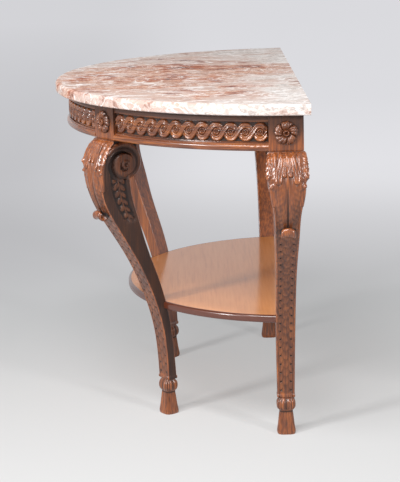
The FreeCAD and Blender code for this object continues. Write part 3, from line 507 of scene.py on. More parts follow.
def scaleRelief(run, v, half):
    # overlapping scales in three columns, the outer ones half a pitch lower; each tilts up to its round tip
    pitch, column = shaft["scalePitch"], shaft["columnShare"] * half
    best = np.zeros_like(v)
    for i in (-1, 0, 1):
        first = np.floor(run / pitch - 0.5 * abs(i))
        for j in (-1, 0, 1):
            middle = (first + j + 0.5 * abs(i) + 0.5) * pitch
            down = (run - middle) / (shaft["longShare"] * pitch)
            aside = (v - i * column) / (shaft["wideShare"] * column)
            reach = np.hypot(np.maximum(down, 0), aside) + shaft["tailShare"] * np.maximum(-down, 0)
            tilt = shaft["scaleHeight"] * zeroToOne(1 - shaft["tiltShare"] * (1 - down))
            best = np.maximum(best, tilt * np.sqrt(zeroToOne((1 - reach) / shaft["roundShare"])))
    return best


def drilledDots(run, v, half):
    # one dot a pitch by each border
    pitch = shaft["scalePitch"]
    down = (np.mod(run / pitch - shaft["dotShiftShare"], 1) - 0.5) * pitch
    return rise(np.hypot(down, np.abs(v) - shaft["dotShare"] * half), shaft["dot"])


def shaftGrid(sideShades):
    # a rounded rectangle between the front and back curves, its front raised in scales and its sides carved
    shareOut, shareAcross, lookOut, lookAcross = roundedLoop(*shaft["loop"])
    onFront, onSide = lookOut == 1, np.abs(lookAcross) == 1
    ankle, corner, halfCuff = legShape["ankle"], legShape["arris"], shaft["cuff"] / 2
    t = np.linspace(0, 1, shaft["rows"])
    frontZ, backZ = (first + (ankle - first) * t for first in (legShape["cutFront"], spiralLine[-1, 1]))
    front, back = np.stack([frontAt(frontZ), frontZ], axis=1), np.stack([backAt(backZ), backZ], axis=1)
    half = np.linalg.norm(front - back, axis=1, keepdims=True) / 2
    way, middle = (front - back) / (2 * half), (front + back) / 2
    out = shareOut * (half - corner) + lookOut * corner
    u, z = middle[:, :1] + out * way[:, :1], middle[:, 1:] + out * way[:, 1:]
    wide = halfWidthAt(z)
    v = shareAcross * (wide - corner) + lookAcross * corner
    run = runAlong(front)[:, None]
    scales, dots = scaleRelief(run, v, wide), drilledDots(run, v, wide)
    past = np.abs(v) - wide + shaft["border"]
    inField = smooth(-past / shaft["fieldSoft"]) * rise(z - ankle, shaft["scalesFrom"])
    line = bell(past, *shaft["line"])
    frontRelief = inField * (scales - shaft["sunk"] - shaft["dotDepth"] * dots) - shaft["lineDepth"] * line
    sideRelief, sideHollow, crest = sideCarving(u, z)
    # painted shade on the sides, lighter on the panel's leaves
    darkening = 1 + (scroll["crestShade"] - 1) * crest
    sideHollow = np.maximum(sideHollow, darkening * np.where(v > 0, *sideShades))
    beads = 1 - shaft["beadShare"] * (1 - np.abs(np.cos(np.pi * shaft["beads"] * v / (2 * wide))))
    cuff = shaft["cuffHeight"] * beads * dome((z - ankle - halfCuff) / halfCuff)
    relief = onFront * frontRelief + onSide * sideRelief * rise(np.abs(shareOut), shaft["sideShares"]) + cuff
    slope = (np.gradient(front[:, 0]) / np.gradient(front[:, 1]))[:, None]
    push = relief * np.where(onFront, np.sqrt(1 + slope ** 2), 1)   # the front is pushed out level
    u, v = u + push * lookOut * way[:, :1], v + relief * lookAcross
    # dirt and painted shade in the gaps, the dots and the border line
    dirtShade = shaft["darkening"] + shaft["gapDirtShade"] * zeroToOne(1 - scales / shaft["gapDepth"]) + dots
    hollow = onFront * (inField * dirtShade + shaft["lineDirtShade"] * line) + onSide * sideHollow
    return ringLoft(np.stack([u, v, z], axis=-1), zeroToOne(hollow))


foot = {
    "out": -165.3, "height": 57, "width": 46, "depth": 42, "bulbHeight": 36, "bulbWidth": 47, "bulbDepth": 40,
    "square": 3.2,   # power of the squarish oval, 2 for a plain one
    "rows": 70, "steps": 120, "neck": (1, 2.2),   # place over the foot and half width of the painted shade at the neck
    # the reeds and lobes are darker with dirt and painted shade
    "reeds": 30, "reedDepth": 1.0, "reedPower": 0.8, "reedDirtShade": 0.4, "reedFoot": (4, 7), "reedTop": (1, -2),
    "lobes": 16, "lobeDepth": 1.8, "lobePower": 0.7, "lobeDirtShade": 0.8, "lobeFoot": (3, 8), "lobeTop": (0, -4),
    # shares of the height, the width and the depth
    "footShares": [(0, 0.95, 0.95), (0.05, 0.985, 0.985), (0.1, 1, 1), (0.2, 0.97, 0.97), (0.55, 0.85, 0.82),
                   (0.9, 0.75, 0.7)],
    "bulbShares": [(0.06, 0.73, 0.72), (0.22, 0.92, 0.9), (0.48, 1, 1), (0.76, 0.94, 0.9), (0.97, 0.78, 0.64),
                   (1.1, 0.76, 0.62)],
}


def footGrid():
    # squarish ovals stacked up the foot and the bulb, reeded like a tassel below and lobed above
    footSize = foot["height"], foot["width"] / 2, foot["depth"] / 2
    bulbSize = foot["bulbHeight"], foot["bulbWidth"] / 2, foot["bulbDepth"] / 2
    bulbRows = np.array(foot["bulbShares"]) * bulbSize + (foot["height"], 0, 0)
    line = splineThrough(np.concatenate([np.array(foot["footShares"]) * footSize, bulbRows]), foot["rows"])
    z, width, depth = line[:, 0:1], line[:, 1:2], line[:, 2:3]
    z = np.maximum.accumulate(np.clip(z, 0, None))
    over = z - foot["height"]
    turn = np.linspace(0, 2 * np.pi, foot["steps"], endpoint=False)[None]
    out, across = (np.sign(x) * np.abs(x) ** (2 / foot["square"]) for x in (np.cos(turn), np.sin(turn)))
    reeds = 1 - np.abs(np.sin(turn * foot["reeds"] / 2)) ** foot["reedPower"]
    reeds = reeds * rise(z, foot["reedFoot"]) * rise(over, foot["reedTop"])
    lobes = 1 - np.abs(np.sin(turn * foot["lobes"] / 2)) ** foot["lobePower"]
    lobes = lobes * rise(over, foot["lobeFoot"]) * rise(over - foot["bulbHeight"], foot["lobeTop"])
    cut = foot["reedDepth"] * reeds + foot["lobeDepth"] * lobes
    u, v = foot["out"] + out * (depth - cut), across * (width - cut)
    # dirt and painted shade in the reeds and lobes, painted shade at the neck
    hollow = foot["reedDirtShade"] * reeds + foot["lobeDirtShade"] * lobes + bell(over, *foot["neck"])
    return ringLoft(np.stack([u, v, z + 0 * u], axis=-1), zeroToOne(hollow))


leaf = {
    "columns": 66, "rows": 118, "tipLevel": 553, "thick": 6.5, "seat": 0.5, "lift": 5, "liftRun": 20,
    "tipLift": 1.5, "sidePower": 8, "endPower": 24,   # how suddenly the sheets meet at the sides and the ends
    # level and half width
    "half": [(729, 41.5), (726, 45), (715, 47.5), (700, 49), (673, 50), (669, 45), (665, 43), (652, 43),
             (648, 39), (644, 35.5), (625, 33.5), (600, 30.5), (580, 27), (565, 21.5), (552, 18)],
    "begin": 12, "upper": (640, 670),   # ribs above those levels, midrib and veins below
    "edgePower": 3, "edgeFall": 5.5, "fallPower": 4, "lipPower": 3,   # how late the edges and the lip set in
    "tooth": 0.04, "toothPitch": 13, "toothPower": 0.7, "toothLevels": (590, 620), "toothDrop": (4, 12),
    "ribPitch": 14, "ribHeight": 3.2, "ribFallShare": 0.6, "edgeVein": 2.2, "edgeVeinShare": 0.35,
    "veinSlant": 0.055, "vein": 0.7, "veinAside": (8, 14), "midrib": 1.6, "midribHalf": 1.6,
    "swell": 2.4, "swellShare": 0.42, "swellHalfShare": 0.3,
    "knobs": (676, 653), "knobHeight": 4.5, "knobHalf": 5, "knobShares": (0.72, 0.92),
    # rows counted from where the lip begins
    "lipRows": 26, "lipRadius": 7.5, "lipTurn": 265, "lipBlend": (-6, 20), "lipNarrowShare": 0.12,
    # the leaf is darker towards its tip, fading out along the lip
    "droop": 5.0, "droopRows": (-10, 4), "darkening": 0.42, "darkLevels": (640, 565), "darkRows": (8, 2),
    # between the ribs, along the edges, down the midrib and in the veins the leaf is darker with dirt and
    # painted shade
    "ribDirtShade": 0.45, "edgeDirtShade": 0.5, "midribDirtShade": 0.75, "veinDirtShade": 0.25, "topShade": 0.6, "topDrop": (3, 0),
    # painted shade: at the leaf's top under the block, in the lip's curl and on the lip's underside
    "lipShade": 0.4, "lipShadeFrom": (-1, 1), "lipShadeTo": (11, 7), "curlShade": 0.7, "curl": (1, 3),
}


def leafPath(firstLevel, lastLevel, lift, tipLift, rows, lipRadius=0.0, lipRows=0, lipTurn=0.0):
    # along the front curve at its lift, then round an arc that curls outwards; gives points, normals and run
    first, last = (np.interp(-level, -frontLine[:, 1], frontRun) for level in (firstLevel, lastLevel))
    run = np.linspace(first, last, rows)
    height = leaf["seat"] + (lift - leaf["seat"]) * smooth((run - first) / leaf["liftRun"])
    height = height + (tipLift - lift) * rise(run, (first, last))
    turn = np.radians(np.linspace(-90, lipTurn - 90, lipRows + 1)[1:])
    run = np.concatenate([run, last + lipRadius * np.cos(turn)])
    height = np.concatenate([height, tipLift + lipRadius + lipRadius * np.sin(turn)])
    base, ahead = (
        np.stack([np.interp(at, frontRun, frontLine[:, k]) for k in (0, 1)], axis=1) for at in (run, run + 1))
    way = (ahead - base) / np.linalg.norm(ahead - base, axis=1)[:, None]
    path = base + np.stack([-way[:, 1], way[:, 0]], axis=1) * height[:, None]
    along = np.gradient(path, axis=0)
    along /= np.linalg.norm(along, axis=1)[:, None]
    return path, np.stack([-along[:, 1], along[:, 0]], axis=1), (run - first)[:, None]


def leafShell(path, normal, middle, half, relief, droop, thick, hollow):
    # a front sheet raised by its relief and a back sheet behind it, meeting along a rounded edge
    share = np.linspace(-1, 1, relief.shape[1])[None]
    length = np.linspace(-1, 1, len(path))[:, None]
    body = thick * dome(share, leaf["sidePower"]) * dome(length, leaf["endPower"])
    sheets = []
    for offset in (relief, relief - body):
        place = path[:, None] + normal[:, None] * offset[..., None]
        points = np.stack([place[..., 0], middle + half * share, place[..., 1] - droop], axis=-1)
        sheets.append((points, False, zeroToOne(hollow)))
    return sheets


def kneeLeaf():
    # the wide leaf over the knee: ribs above, a midrib with slanting veins below, toothed edges, a curled lip
    path, normal, run = leafPath(
        blockLevel, leaf["tipLevel"], leaf["lift"], leaf["tipLift"], leaf["rows"],
        leaf["lipRadius"], leaf["lipRows"], leaf["lipTurn"])
    row = np.arange(len(path))[:, None] - leaf["rows"]
    share = np.linspace(-1, 1, leaf["columns"])[None]
    level = np.where(row < 0, path[:, 1:], leaf["tipLevel"])
    upper, lip, begin = rise(level, leaf["upper"]), rise(row, leaf["lipBlend"]), smooth(run / leaf["begin"])
    levels, halves = np.array(leaf["half"])[::-1].T
    notch = 1 - np.abs(np.sin(np.pi * run / leaf["toothPitch"])) ** leaf["toothPower"]
    notch = notch * rise(level, leaf["toothLevels"]) * rise(blockLevel - level, leaf["toothDrop"])
    half = np.interp(level, levels, halves) * (1 - leaf["tooth"] * notch)
    half = half * (1 - leaf["lipNarrowShare"] * lip ** leaf["lipPower"])
    v = half * share
    aside, edge = np.abs(v), np.abs(share) ** leaf["edgePower"]
    ribs = np.cos(2 * np.pi * v / leaf["ribPitch"])
    slant = np.abs(np.sin(np.pi * (run / leaf["toothPitch"] - leaf["veinSlant"] * aside)))
    midrib, veined = bell(v / leaf["midribHalf"]), rise(aside, leaf["veinAside"])
    above = leaf["ribHeight"] * (0.5 + 0.5 * ribs) * (1 - leaf["ribFallShare"] * edge)
    above = above + leaf["edgeVein"] * edge * (slant - leaf["edgeVeinShare"])
    below = leaf["swell"] * bell(aside, leaf["swellShare"] * half, leaf["swellHalfShare"] * half)
    below = below - leaf["midrib"] * midrib + leaf["vein"] * slant ** 2 * veined
    relief = upper * above + (1 - upper) * below * (1 - lip)
    relief = begin * (relief - leaf["edgeFall"] * np.abs(share) ** leaf["fallPower"] * (1 - lip))
    for knob in leaf["knobs"]:   # the side lobes swell just above each step of the outline
        swelling = bell(level, knob, leaf["knobHalf"]) * rise(np.abs(share), leaf["knobShares"])
        relief = relief + leaf["knobHeight"] * swelling
    droop = leaf["droop"] * share ** 2 * rise(row, leaf["droopRows"])
    # dirt and painted shade between the ribs, in the veins and down the midrib
    ribDirtShade = leaf["ribDirtShade"] * zeroToOne(-ribs) * (1 - edge) + edge * zeroToOne(leaf["edgeDirtShade"] - slant)
    veinDirtShade = leaf["midribDirtShade"] * midrib + leaf["veinDirtShade"] * (1 - slant) * veined
    hollow = upper * begin * ribDirtShade + (1 - upper) * (1 - lip) * veinDirtShade
    # darker towards the tip, fading out along the lip
    hollow = hollow + leaf["darkening"] * rise(level, leaf["darkLevels"]) * rise(row, leaf["darkRows"])
    # painted shade on the lip's underside and in its curl, and at the leaf's top under the block
    hollow = hollow + leaf["lipShade"] * rise(row, leaf["lipShadeFrom"]) * rise(row, leaf["lipShadeTo"])
    hollow = hollow + leaf["curlShade"] * bell(row, *leaf["curl"])
    hollow = hollow + leaf["topShade"] * rise(blockLevel - level, leaf["topDrop"])
    return leafShell(path, normal, 0, half, relief, droop, leaf["thick"], hollow)


fingers = {
    "rows": 60, "columns": 15, "drop": 3, "lift": 6.5, "thick": 5.0, "height": 1.7, "tipHeight": 2.8,
    # the middle line and the edges are darker: dirt and painted shade
    "tipRun": (24, 0), "lineShare": 0.16, "lineDepth": 0.9, "lineRun": 14, "lineDirtShade": 0.4, "edgeDirtShade": 0.45,
    "edgePower": 6,
    # rounded leaf tips on the knee: middle at the top and at the tip, half widths there, level of the tip
    "tips": [(-12, -21, 6.5, 8.5, 659), (12, 21, 6.5, 8.5, 659), (-4, -7, 4.0, 4.8, 674),
             (4, 7, 4.0, 4.8, 674)],
}


def fingerLeaf(top, tip, narrow, wide, level):
    # a dome across with a line down its middle, which swells towards a round end
    path, normal, run = leafPath(
        blockLevel - fingers["drop"], level, fingers["lift"], fingers["lift"], fingers["rows"])
    share = np.linspace(-1, 1, fingers["columns"])[None]
    left, go = run.max() - run, smooth(run / run.max())
    end = dome(zeroToOne(1 - left / wide))
    half = (narrow + (wide - narrow) * go) * end
    swell = fingers["height"] + fingers["tipHeight"] * rise(left, fingers["tipRun"])
    line = bell(share / fingers["lineShare"]) * smooth(left / fingers["lineRun"])
    relief = swell * end * dome(share) - fingers["lineDepth"] * line
    # dirt and painted shade down the middle line and at the edges
    hollow = fingers["lineDirtShade"] * line + fingers["edgeDirtShade"] * np.abs(share) ** fingers["edgePower"]
    return leafShell(path, normal, top + (tip - top) * go, half, relief, 0, fingers["thick"], hollow)


legGrids = [blockGrid(), footGrid(), *kneeLeaf()]
for finger in fingers["tips"]:
    legGrids += fingerLeaf(*finger)
for leg in legPlaces:
    sideShades = legShape["wallSideShade"], legShape["roomSideShade"]
    if math.cos(legPlaces[leg][2]) < 0:   # on the left legs the other side is towards the wall
        sideShades = sideShades[::-1]
    grids = legGrids + [*scrollGrids(sideShades), shaftGrid(sideShades)]
    grids = [(atLeg(points, leg), closed, hollow) for points, closed, hollow in grids]
    makePiece(leg + "_leg_carved", grids, legWood, leg + "_leg")
print("legs carved")

# Guilloche in the frieze: two bands that twist round ringed buttons
guilloche = {
    "pitch": 34, "step": 1.0, "columns": 44, "bed": 2, "behind": 0.5,   # mm over and behind the strip's back
    "bandHalf": 6.4, "bandPower": 4, "bandHeight": 6.4, "swing": 15.6, "grooveShare": 0.3, "grooveHalf": 2.2,
    "underShare": 0.62, "underSine": 0.6, "underPower": 4, "overRise": 0.8,
    "button": (10.5, 9.1), "buttonHeight": 5.4, "ringPitch": 6.0, "ringShare": 0.32,
    # darker where the bands and rings sink: dirt and painted shade
    "endSoft": 1.5, "sideRoom": 0.2, "dirtShade": 0.95, "dirtShadeHeight": 3.4, "ringDirtShade": 0.9, "ringDirtShadeFrom": 0.7,
}


def spanOf(node):
    # the angles, radii and levels that a curved strip covers about the middle of the wall edge
    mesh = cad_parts[node].data
    place = np.empty(len(mesh.vertices) * 3, np.float32)
    mesh.vertices.foreach_get("co", place)
    place = place.reshape(-1, 3) / mm - (0, wallY, 0)
    turn = np.mod(np.arctan2(place[:, 1], place[:, 0]) + np.pi / 2, 2 * np.pi) - np.pi / 2
    if turn.max() - turn.min() > np.pi:
        turn = np.where(turn > np.pi / 2, turn - 2 * np.pi, turn)
    reach = np.hypot(place[:, 0], place[:, 1])
    return (turn.min(), turn.max()), (reach.min(), reach.max()), (place[:, 2].min(), place[:, 2].max())


def aroundWall(reach, turn, level):
    # from radius, angle and level about the middle of the wall edge to x, y and z
    x, y = reach * np.cos(turn), wallY + reach * np.sin(turn)
    return np.stack(np.broadcast_arrays(x, y, level), axis=-1)


def guillocheGrid(node):
    # height over the strip: the higher of two half-round bands that swing past each other and ringed buttons
    (first, last), radii, (low, high) = spanOf(node)
    ground = min(radii)
    radius = ground + guilloche["bed"]
    length = (last - first) * radius
    pitch = length / max(round(length / guilloche["pitch"]), 1)
    along = np.linspace(0, length, round(length / guilloche["step"]))[:, None]
    z = np.linspace(low, high, guilloche["columns"])[None]
    up, wave = z - (low + high) / 2, np.pi * along / pitch
    near = (np.mod(along / pitch, 1) - 0.5) * pitch
    r = np.hypot(near, up)
    rings = 1 - guilloche["ringShare"] * (1 - np.cos(2 * np.pi * r / guilloche["ringPitch"]))
    height = guilloche["buttonHeight"] * rings * rise(r, guilloche["button"])
    for swing in (guilloche["swing"], -guilloche["swing"]):
        slope = swing * np.cos(wave) * np.pi / pitch
        off = np.abs(up - swing * np.sin(wave)) / np.sqrt(1 + slope ** 2)
        band = dome(off / guilloche["bandHalf"], guilloche["bandPower"])
        band = band * (1 - guilloche["grooveShare"] * bell(off / guilloche["grooveHalf"]))
        under = bell(np.sin(wave), 0, guilloche["underSine"], guilloche["underPower"]) * (slope < 0)
        top = guilloche["bandHeight"] * (1 - guilloche["underShare"] * under)
        top = top + guilloche["overRise"] * (slope > 0) * np.cos(wave) ** 2
        height = np.maximum(height, band * top)
    fromSide = np.minimum(z - low, high - z) + guilloche["sideRoom"]
    height = height * smooth(np.minimum(along, length - along) / guilloche["endSoft"])
    height = height * smooth(fromSide / guilloche["endSoft"])
    # dirt and painted shade where the bands and rings sink
    hollow = guilloche["dirtShade"] * zeroToOne(1 - height / guilloche["dirtShadeHeight"])
    ringDirtShade = guilloche["ringDirtShade"] * zeroToOne(guilloche["ringDirtShadeFrom"] - rings)
    hollow = zeroToOne(hollow + ringDirtShade * (r < guilloche["button"][0]))
    turn = first + along / radius
    front = aroundWall(radius + height, turn, z)
    back = aroundWall(ground - guilloche["behind"], turn, np.array([[high, low]]))
    hollow = np.concatenate([hollow, np.zeros(back.shape[:2])], axis=1)
    return ringLoft(np.concatenate([front, back], axis=1), hollow)


friezeRuns = ("right", "front", "left")
for run in friezeRuns:
    node = run + "_guilloche"
    makePiece(node + "_carved", [guillocheGrid(node)], railWood, node)
print("guilloche carved")

# Rosettes on the blocks: five ribbed leaves that curl round a ringed boss
rosette = {
    "radius": 28.5, "rows": 52, "rowPower": 0.9, "steps": 220, "ground": 1.5, "behind": 0.6,
    "edgeShares": (1, 0.97), "petals": 5, "height": 7.5, "petalPower": 0.6, "twist": 0.014, "domeShare": 0.14,
    "swellPower": 0.9, "swellTurn": 0.86, "swellStart": 0.12,   # the petal's rise and fall along its length
    "inner": 8, "ribs": 3, "ribHeight": 1.5, "ribShare": 0.04, "ribSoftShare": 0.6,
    "boss": (8.5, 6.9), "bossHeight": 4.5, "ring": (5.4, 1.8), "ringHeight": 4.0, "pit": 2.8, "pitDepth": 3.5,
    # darker where it sinks and between the ribs: dirt and painted shade; the whole rosette is darker by a
    # fixed share
    "dirtShade": 0.95, "dirtShadeHeight": 5, "ribDirtShade": 0.9, "ribDirtShadeFrom": 0.5, "darkening": 0.4,
}


def rosetteGrid():
    # height in polar terms: leaves domed across and swollen along, with ribs, about a ring with a sunk middle
    middle, radius = blockLevel + table["apron"] / 2, rosette["radius"]
    r = np.linspace(0, 1, rosette["rows"])[:, None] ** rosette["rowPower"]
    turn = np.linspace(0, 2 * np.pi, rosette["steps"], endpoint=False)[None]
    phase = 2 * np.mod((turn + rosette["twist"] * r * radius) * rosette["petals"] / (2 * np.pi), 1) - 1
    across = dome(phase)
    rib = np.abs(np.cos(np.pi * rosette["ribs"] * phase / 2))
    reach = radius * (1 - rosette["domeShare"] * (1 - across) - rosette["ribShare"] * (1 - rib))
    place = r * reach
    length = zeroToOne((place - rosette["inner"]) / (reach - rosette["inner"]))
    swell = np.sin(np.pi * length ** rosette["swellPower"] * rosette["swellTurn"] + rosette["swellStart"])
    ribbing = rosette["ribHeight"] * (rib - 0.5) * smooth(across / rosette["ribSoftShare"])
    petals = swell * (rosette["height"] * across ** rosette["petalPower"] + ribbing)
    boss = rosette["bossHeight"] + rosette["ringHeight"] * bell(place, *rosette["ring"])
    boss = boss - rosette["pitDepth"] * bell(place / rosette["pit"])
    inBoss = rise(place, rosette["boss"])
    height = rosette["ground"] + petals * (1 - inBoss) + boss * inBoss
    height = height * rise(r, rosette["edgeShares"])
    # dirt and painted shade where the rosette sinks and between its ribs
    hollow = rosette["dirtShade"] * zeroToOne(1 - (height - rosette["ground"]) / rosette["dirtShadeHeight"])
    hollow = hollow + rosette["ribDirtShade"] * zeroToOne(rosette["ribDirtShadeFrom"] - rib) * (1 - inBoss)
    hollow = zeroToOne(np.maximum(hollow, rosette["darkening"]))
    front = np.stack([height, place * np.cos(turn), middle + place * np.sin(turn)], axis=-1)
    back = np.broadcast_to((-rosette["behind"], 0, middle), front[:1].shape)
    return np.concatenate([front, back]), True, np.concatenate([hollow, 0 * hollow[:1]])


points, closed, hollow = rosetteGrid()
for leg in legPlaces:
    grid = atLeg(points, leg), closed, hollow
    makePiece(leg + "_rosette_carved", [grid], legWood, leg + "_rosette")
print("rosettes carved")

# Honed breccia marble: red-brown and pink drifts with white veins and flecks under a dull, even sheen
marble = {
    "noises": {   # mm across, detail, roughness and swirl
        "zone": (430, 5, 0.6, 0.8), "drift": (150, 9, 0.62, 1.2), "mottle": (26, 8, 0.68, 0.5),
        "vein": (110, 7, 0.58, 1.6), "hair": (40, 7, 0.62, 1.2), "fleck": (40, 8, 0.68, 0.8),
    },
    "stretch": 0.55,   # the pattern is drawn out along Y by one over this
    "mottleShare": 0.42,
    "warm": [(0.38, "#4c2010"), (0.44, "#8f4a2a"), (0.48, "#b26e50"), (0.515, "#dab5a0"), (0.545, "#99634c"),
             (0.59, "#c09682"), (0.64, "#ece2dd")],
    "pale": [(0.38, "#866458"), (0.44, "#bca297"), (0.48, "#e0d6d0"), (0.515, "#b0a29b"), (0.545, "#eae5e2"),
             (0.60, "#c4b2a8"), (0.65, "#f4f0ec")],
    # where the brown drift lies, in mm, and how ragged its edge is
    "warmMiddle": (-40, -60), "warmReach": (430, 300), "ragged": 3.6, "zoneFrom": 0.75, "zoneTo": 1.35,
    "veins": {"hair": (0.018, 0.7, "#ecdfd8"), "vein": (0.022, 0.9, "#f4f0ee")},   # width, weight and colour
    "flecks": (0.58, 0.66), "white": "#f4f0ee", "roughness": 0.66, "ior": 1.4,
}


def brecciaMarble(name):
    # two colour ramps over the same drift, a warm one within a ragged oval and a pale one outside it
    material, tree = newMaterial(name)
    spot = addNode(tree, "TexCoord").outputs["Object"]
    place = addNode(tree, "VectorMath", {0: spot, 1: (1, marble["stretch"], 1)}, operation="MULTIPLY")
    noises = {}
    for key, (size, detail, rough, swirl) in marble["noises"].items():
        noises[key] = addNode(tree, "TexNoise", {
            "Vector": place, "Scale": 1 / (size * mm), "Detail": detail, "Roughness": rough,
            "Distortion": swirl}).outputs["Fac"]
    offHalf = {
        key: addNode(tree, "Math", {0: noises[key], 1: 0.5}, operation="SUBTRACT")
        for key in ("zone", "hair", "vein")}
    drift = addNode(tree, "Mix", {"Factor": marble["mottleShare"], 2: noises["drift"], 3: noises["mottle"]})
    warm, pale = (addNode(tree, "ValToRGB", {"Fac": drift}, marble[key]) for key in ("warm", "pale"))
    oval = addNode(tree, "Mapping", {
        "Vector": spot, "Scale": [1 / (reach * mm) for reach in marble["warmReach"]] + [0],
        "Location": [-at / reach for at, reach in zip(marble["warmMiddle"], marble["warmReach"])] + [0]})
    far = addNode(tree, "VectorMath", {0: oval}, operation="LENGTH").outputs["Value"]
    edge = addNode(tree, "Math", {0: offHalf["zone"], 1: marble["ragged"], 2: far}, operation="MULTIPLY_ADD")
    zone = addNode(tree, "MapRange", {"Value": edge, 1: marble["zoneFrom"], 2: marble["zoneTo"]})
    colour = addNode(tree, "Mix", {"Factor": zone, 6: warm, 7: pale}, data_type="RGBA").outputs[2]
    layers = []
    for key, (width, weight, shade) in marble["veins"].items():   # a vein runs where its noise crosses a half
        near = addNode(tree, "Math", {0: offHalf[key]}, operation="ABSOLUTE")
        line = addNode(tree, "MapRange", {"Value": near, 1: 0.0, 2: width, 3: weight, 4: 0.0})
        layers.append((line, shade))
    first, full = marble["flecks"]
    layers.append((addNode(tree, "MapRange", {"Value": noises["fleck"], 1: first, 2: full}), marble["white"]))
    for cover, shade in layers:
        mixed = addNode(tree, "Mix", {"Factor": cover, 6: colour, 7: linear(shade)}, data_type="RGBA")
        colour = mixed.outputs[2]
    shader = addNode(tree, "BsdfPrincipled", {
        "Base Color": colour, "Roughness": marble["roughness"], "IOR": marble["ior"]})
    addNode(tree, "OutputMaterial", {"Surface": shader})
    return material


# Walnut veneer on the shelf, paler and redder than the carving: faint straight grain under shiny varnish
walnut = {
    "pale": "#ec9f60", "mid": "#e69757", "dark": "#da8b4d", "hollow": "#5a2a17",
    "grainWidth": 6, "grainLength": 120, "figureWidth": 45, "figureLength": 320,   # mm, drawn coarse to show
    "roughness": 0.5, "glossSpread": 0.0, "coat": 0.8, "coatRoughness": 0.14, "bump": 0.0,
    "hollowRoughness": 0.3, "hollowCoat": 0.8,
}
# Planed beech inside the frame: pale brown, open and dull, without a finish
beech = {
    "pale": "#a98560", "mid": "#8f6a48", "dark": "#735238", "hollow": "#3a2a1c",
    "grainWidth": 4, "grainLength": 60, "figureWidth": 30, "figureLength": 200,   # mm, drawn coarse to show
    "roughness": 0.55, "glossSpread": 0.08, "coat": 0.0, "coatRoughness": 0.3, "bump": 0.2,
    "hollowRoughness": 0.7, "hollowCoat": 0.0,
}
shelfWood = polishedWood("walnut_veneer_polished", walnut, "across")
innerWood = polishedWood("beech_planed", beech, "across")

# The shelf: a half-round board with a darker rounded edge
shelf = {"topRound": 6, "footRound": 4, "arcSteps": 160, "bendSteps": 8, "edgeStain": 1.0, "fadeShare": 0.015}


def shelfGrid():
    # the half-round outline, an arc and a straight back, stacked up the edge and drawn in at both roundings
    radii, (low, high) = spanOf("shelf")[1:]
    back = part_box("shelf")[1][1] / mm
    bend = np.radians(np.linspace(0, 90, shelf["bendSteps"]))
    topRound, footRound = shelf["topRound"], shelf["footRound"]
    inset = np.concatenate([footRound * (1 - np.sin(bend)), topRound * (1 - np.cos(bend))])
    level = np.concatenate([low + footRound * (1 - np.cos(bend)), high - topRound * (1 - np.sin(bend))])
    reach = (max(radii) - inset)[:, None]
    end = np.arcsin((wallY - back) / reach)
    turn = np.pi + end + np.linspace(0, 1, shelf["arcSteps"]) * (np.pi - 2 * end)
    points = aroundWall(reach, turn, level[:, None])
    middle = np.broadcast_to(points.mean(axis=1, keepdims=True), points.shape)
    inner = points[-1:] + shelf["fadeShare"] * (middle[-1:] - points[-1:])   # where the edge's stain ends
    darkening = np.concatenate([[0], 0 * inset + shelf["edgeStain"], [0, 0]])[:, None]
    return np.concatenate([middle[:1], points, inner, middle[-1:]]), True, darkening


makePiece("shelf_board", [shelfGrid()], shelfWood, "shelf")
print("shelf made")

finishes = {"marble_top": brecciaMarble("breccia_marble_honed")}
for run in friezeRuns:
    finishes[run + "_rail"] = finishes[run + "_moulding"] = railWood
for name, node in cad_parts.items():
    for slot in node.material_slots:
        slot.material = finishes.get(name, innerWood)
print("materials on the solids")

# Studio: pale paper for floor and backdrop, a key lamp on the left, a weaker one on the right and one above
studio = {
    "spokes": 96, "radius": 40, "fadeFrom": 1.2, "fadeTo": 3.2,   # radius and fade in metres
    "floorBounce": "#d0d0d2", "glow": 0.44, "ambient": 0.2, "backdrop": "#d8d8db",
    "depth": (2.0, -14.0),   # metres along the camera's way that the greys below cover
    # painted light and shade on the paper: its grey by depth
    "greys": [(0.06, "#dfdfdf"), (0.12, "#dddddd"), (0.17, "#d8d9da"), (0.23, "#dddde0"), (0.34, "#e2e2e6"),
              (0.48, "#dcdce0"), (0.85, "#dadade")],
    "across": (-0.9, 0.3),   # metres over which a painted shade darkens the paper towards the left, by the shares below
    "leftShares": [(0.10, "#efefef"), (0.17, "#e6e6e6"), (0.25, "#dfdfdf"), (0.34, "#dbdbdb"),
                   (0.48, "#e7e7e7"), (0.85, "#f7f7f7")],
    "aim": (0, 0, 0.45),
    "lamps": {   # watts, place, size across
        "key": (100, (2.6, -2.8, 1.8), 0.6), "fill": (46, (2.9, 2.4, 1.9), 0.5),
        "above": (84, (1.9, -0.6, 3.2), 1.5),
    },
}


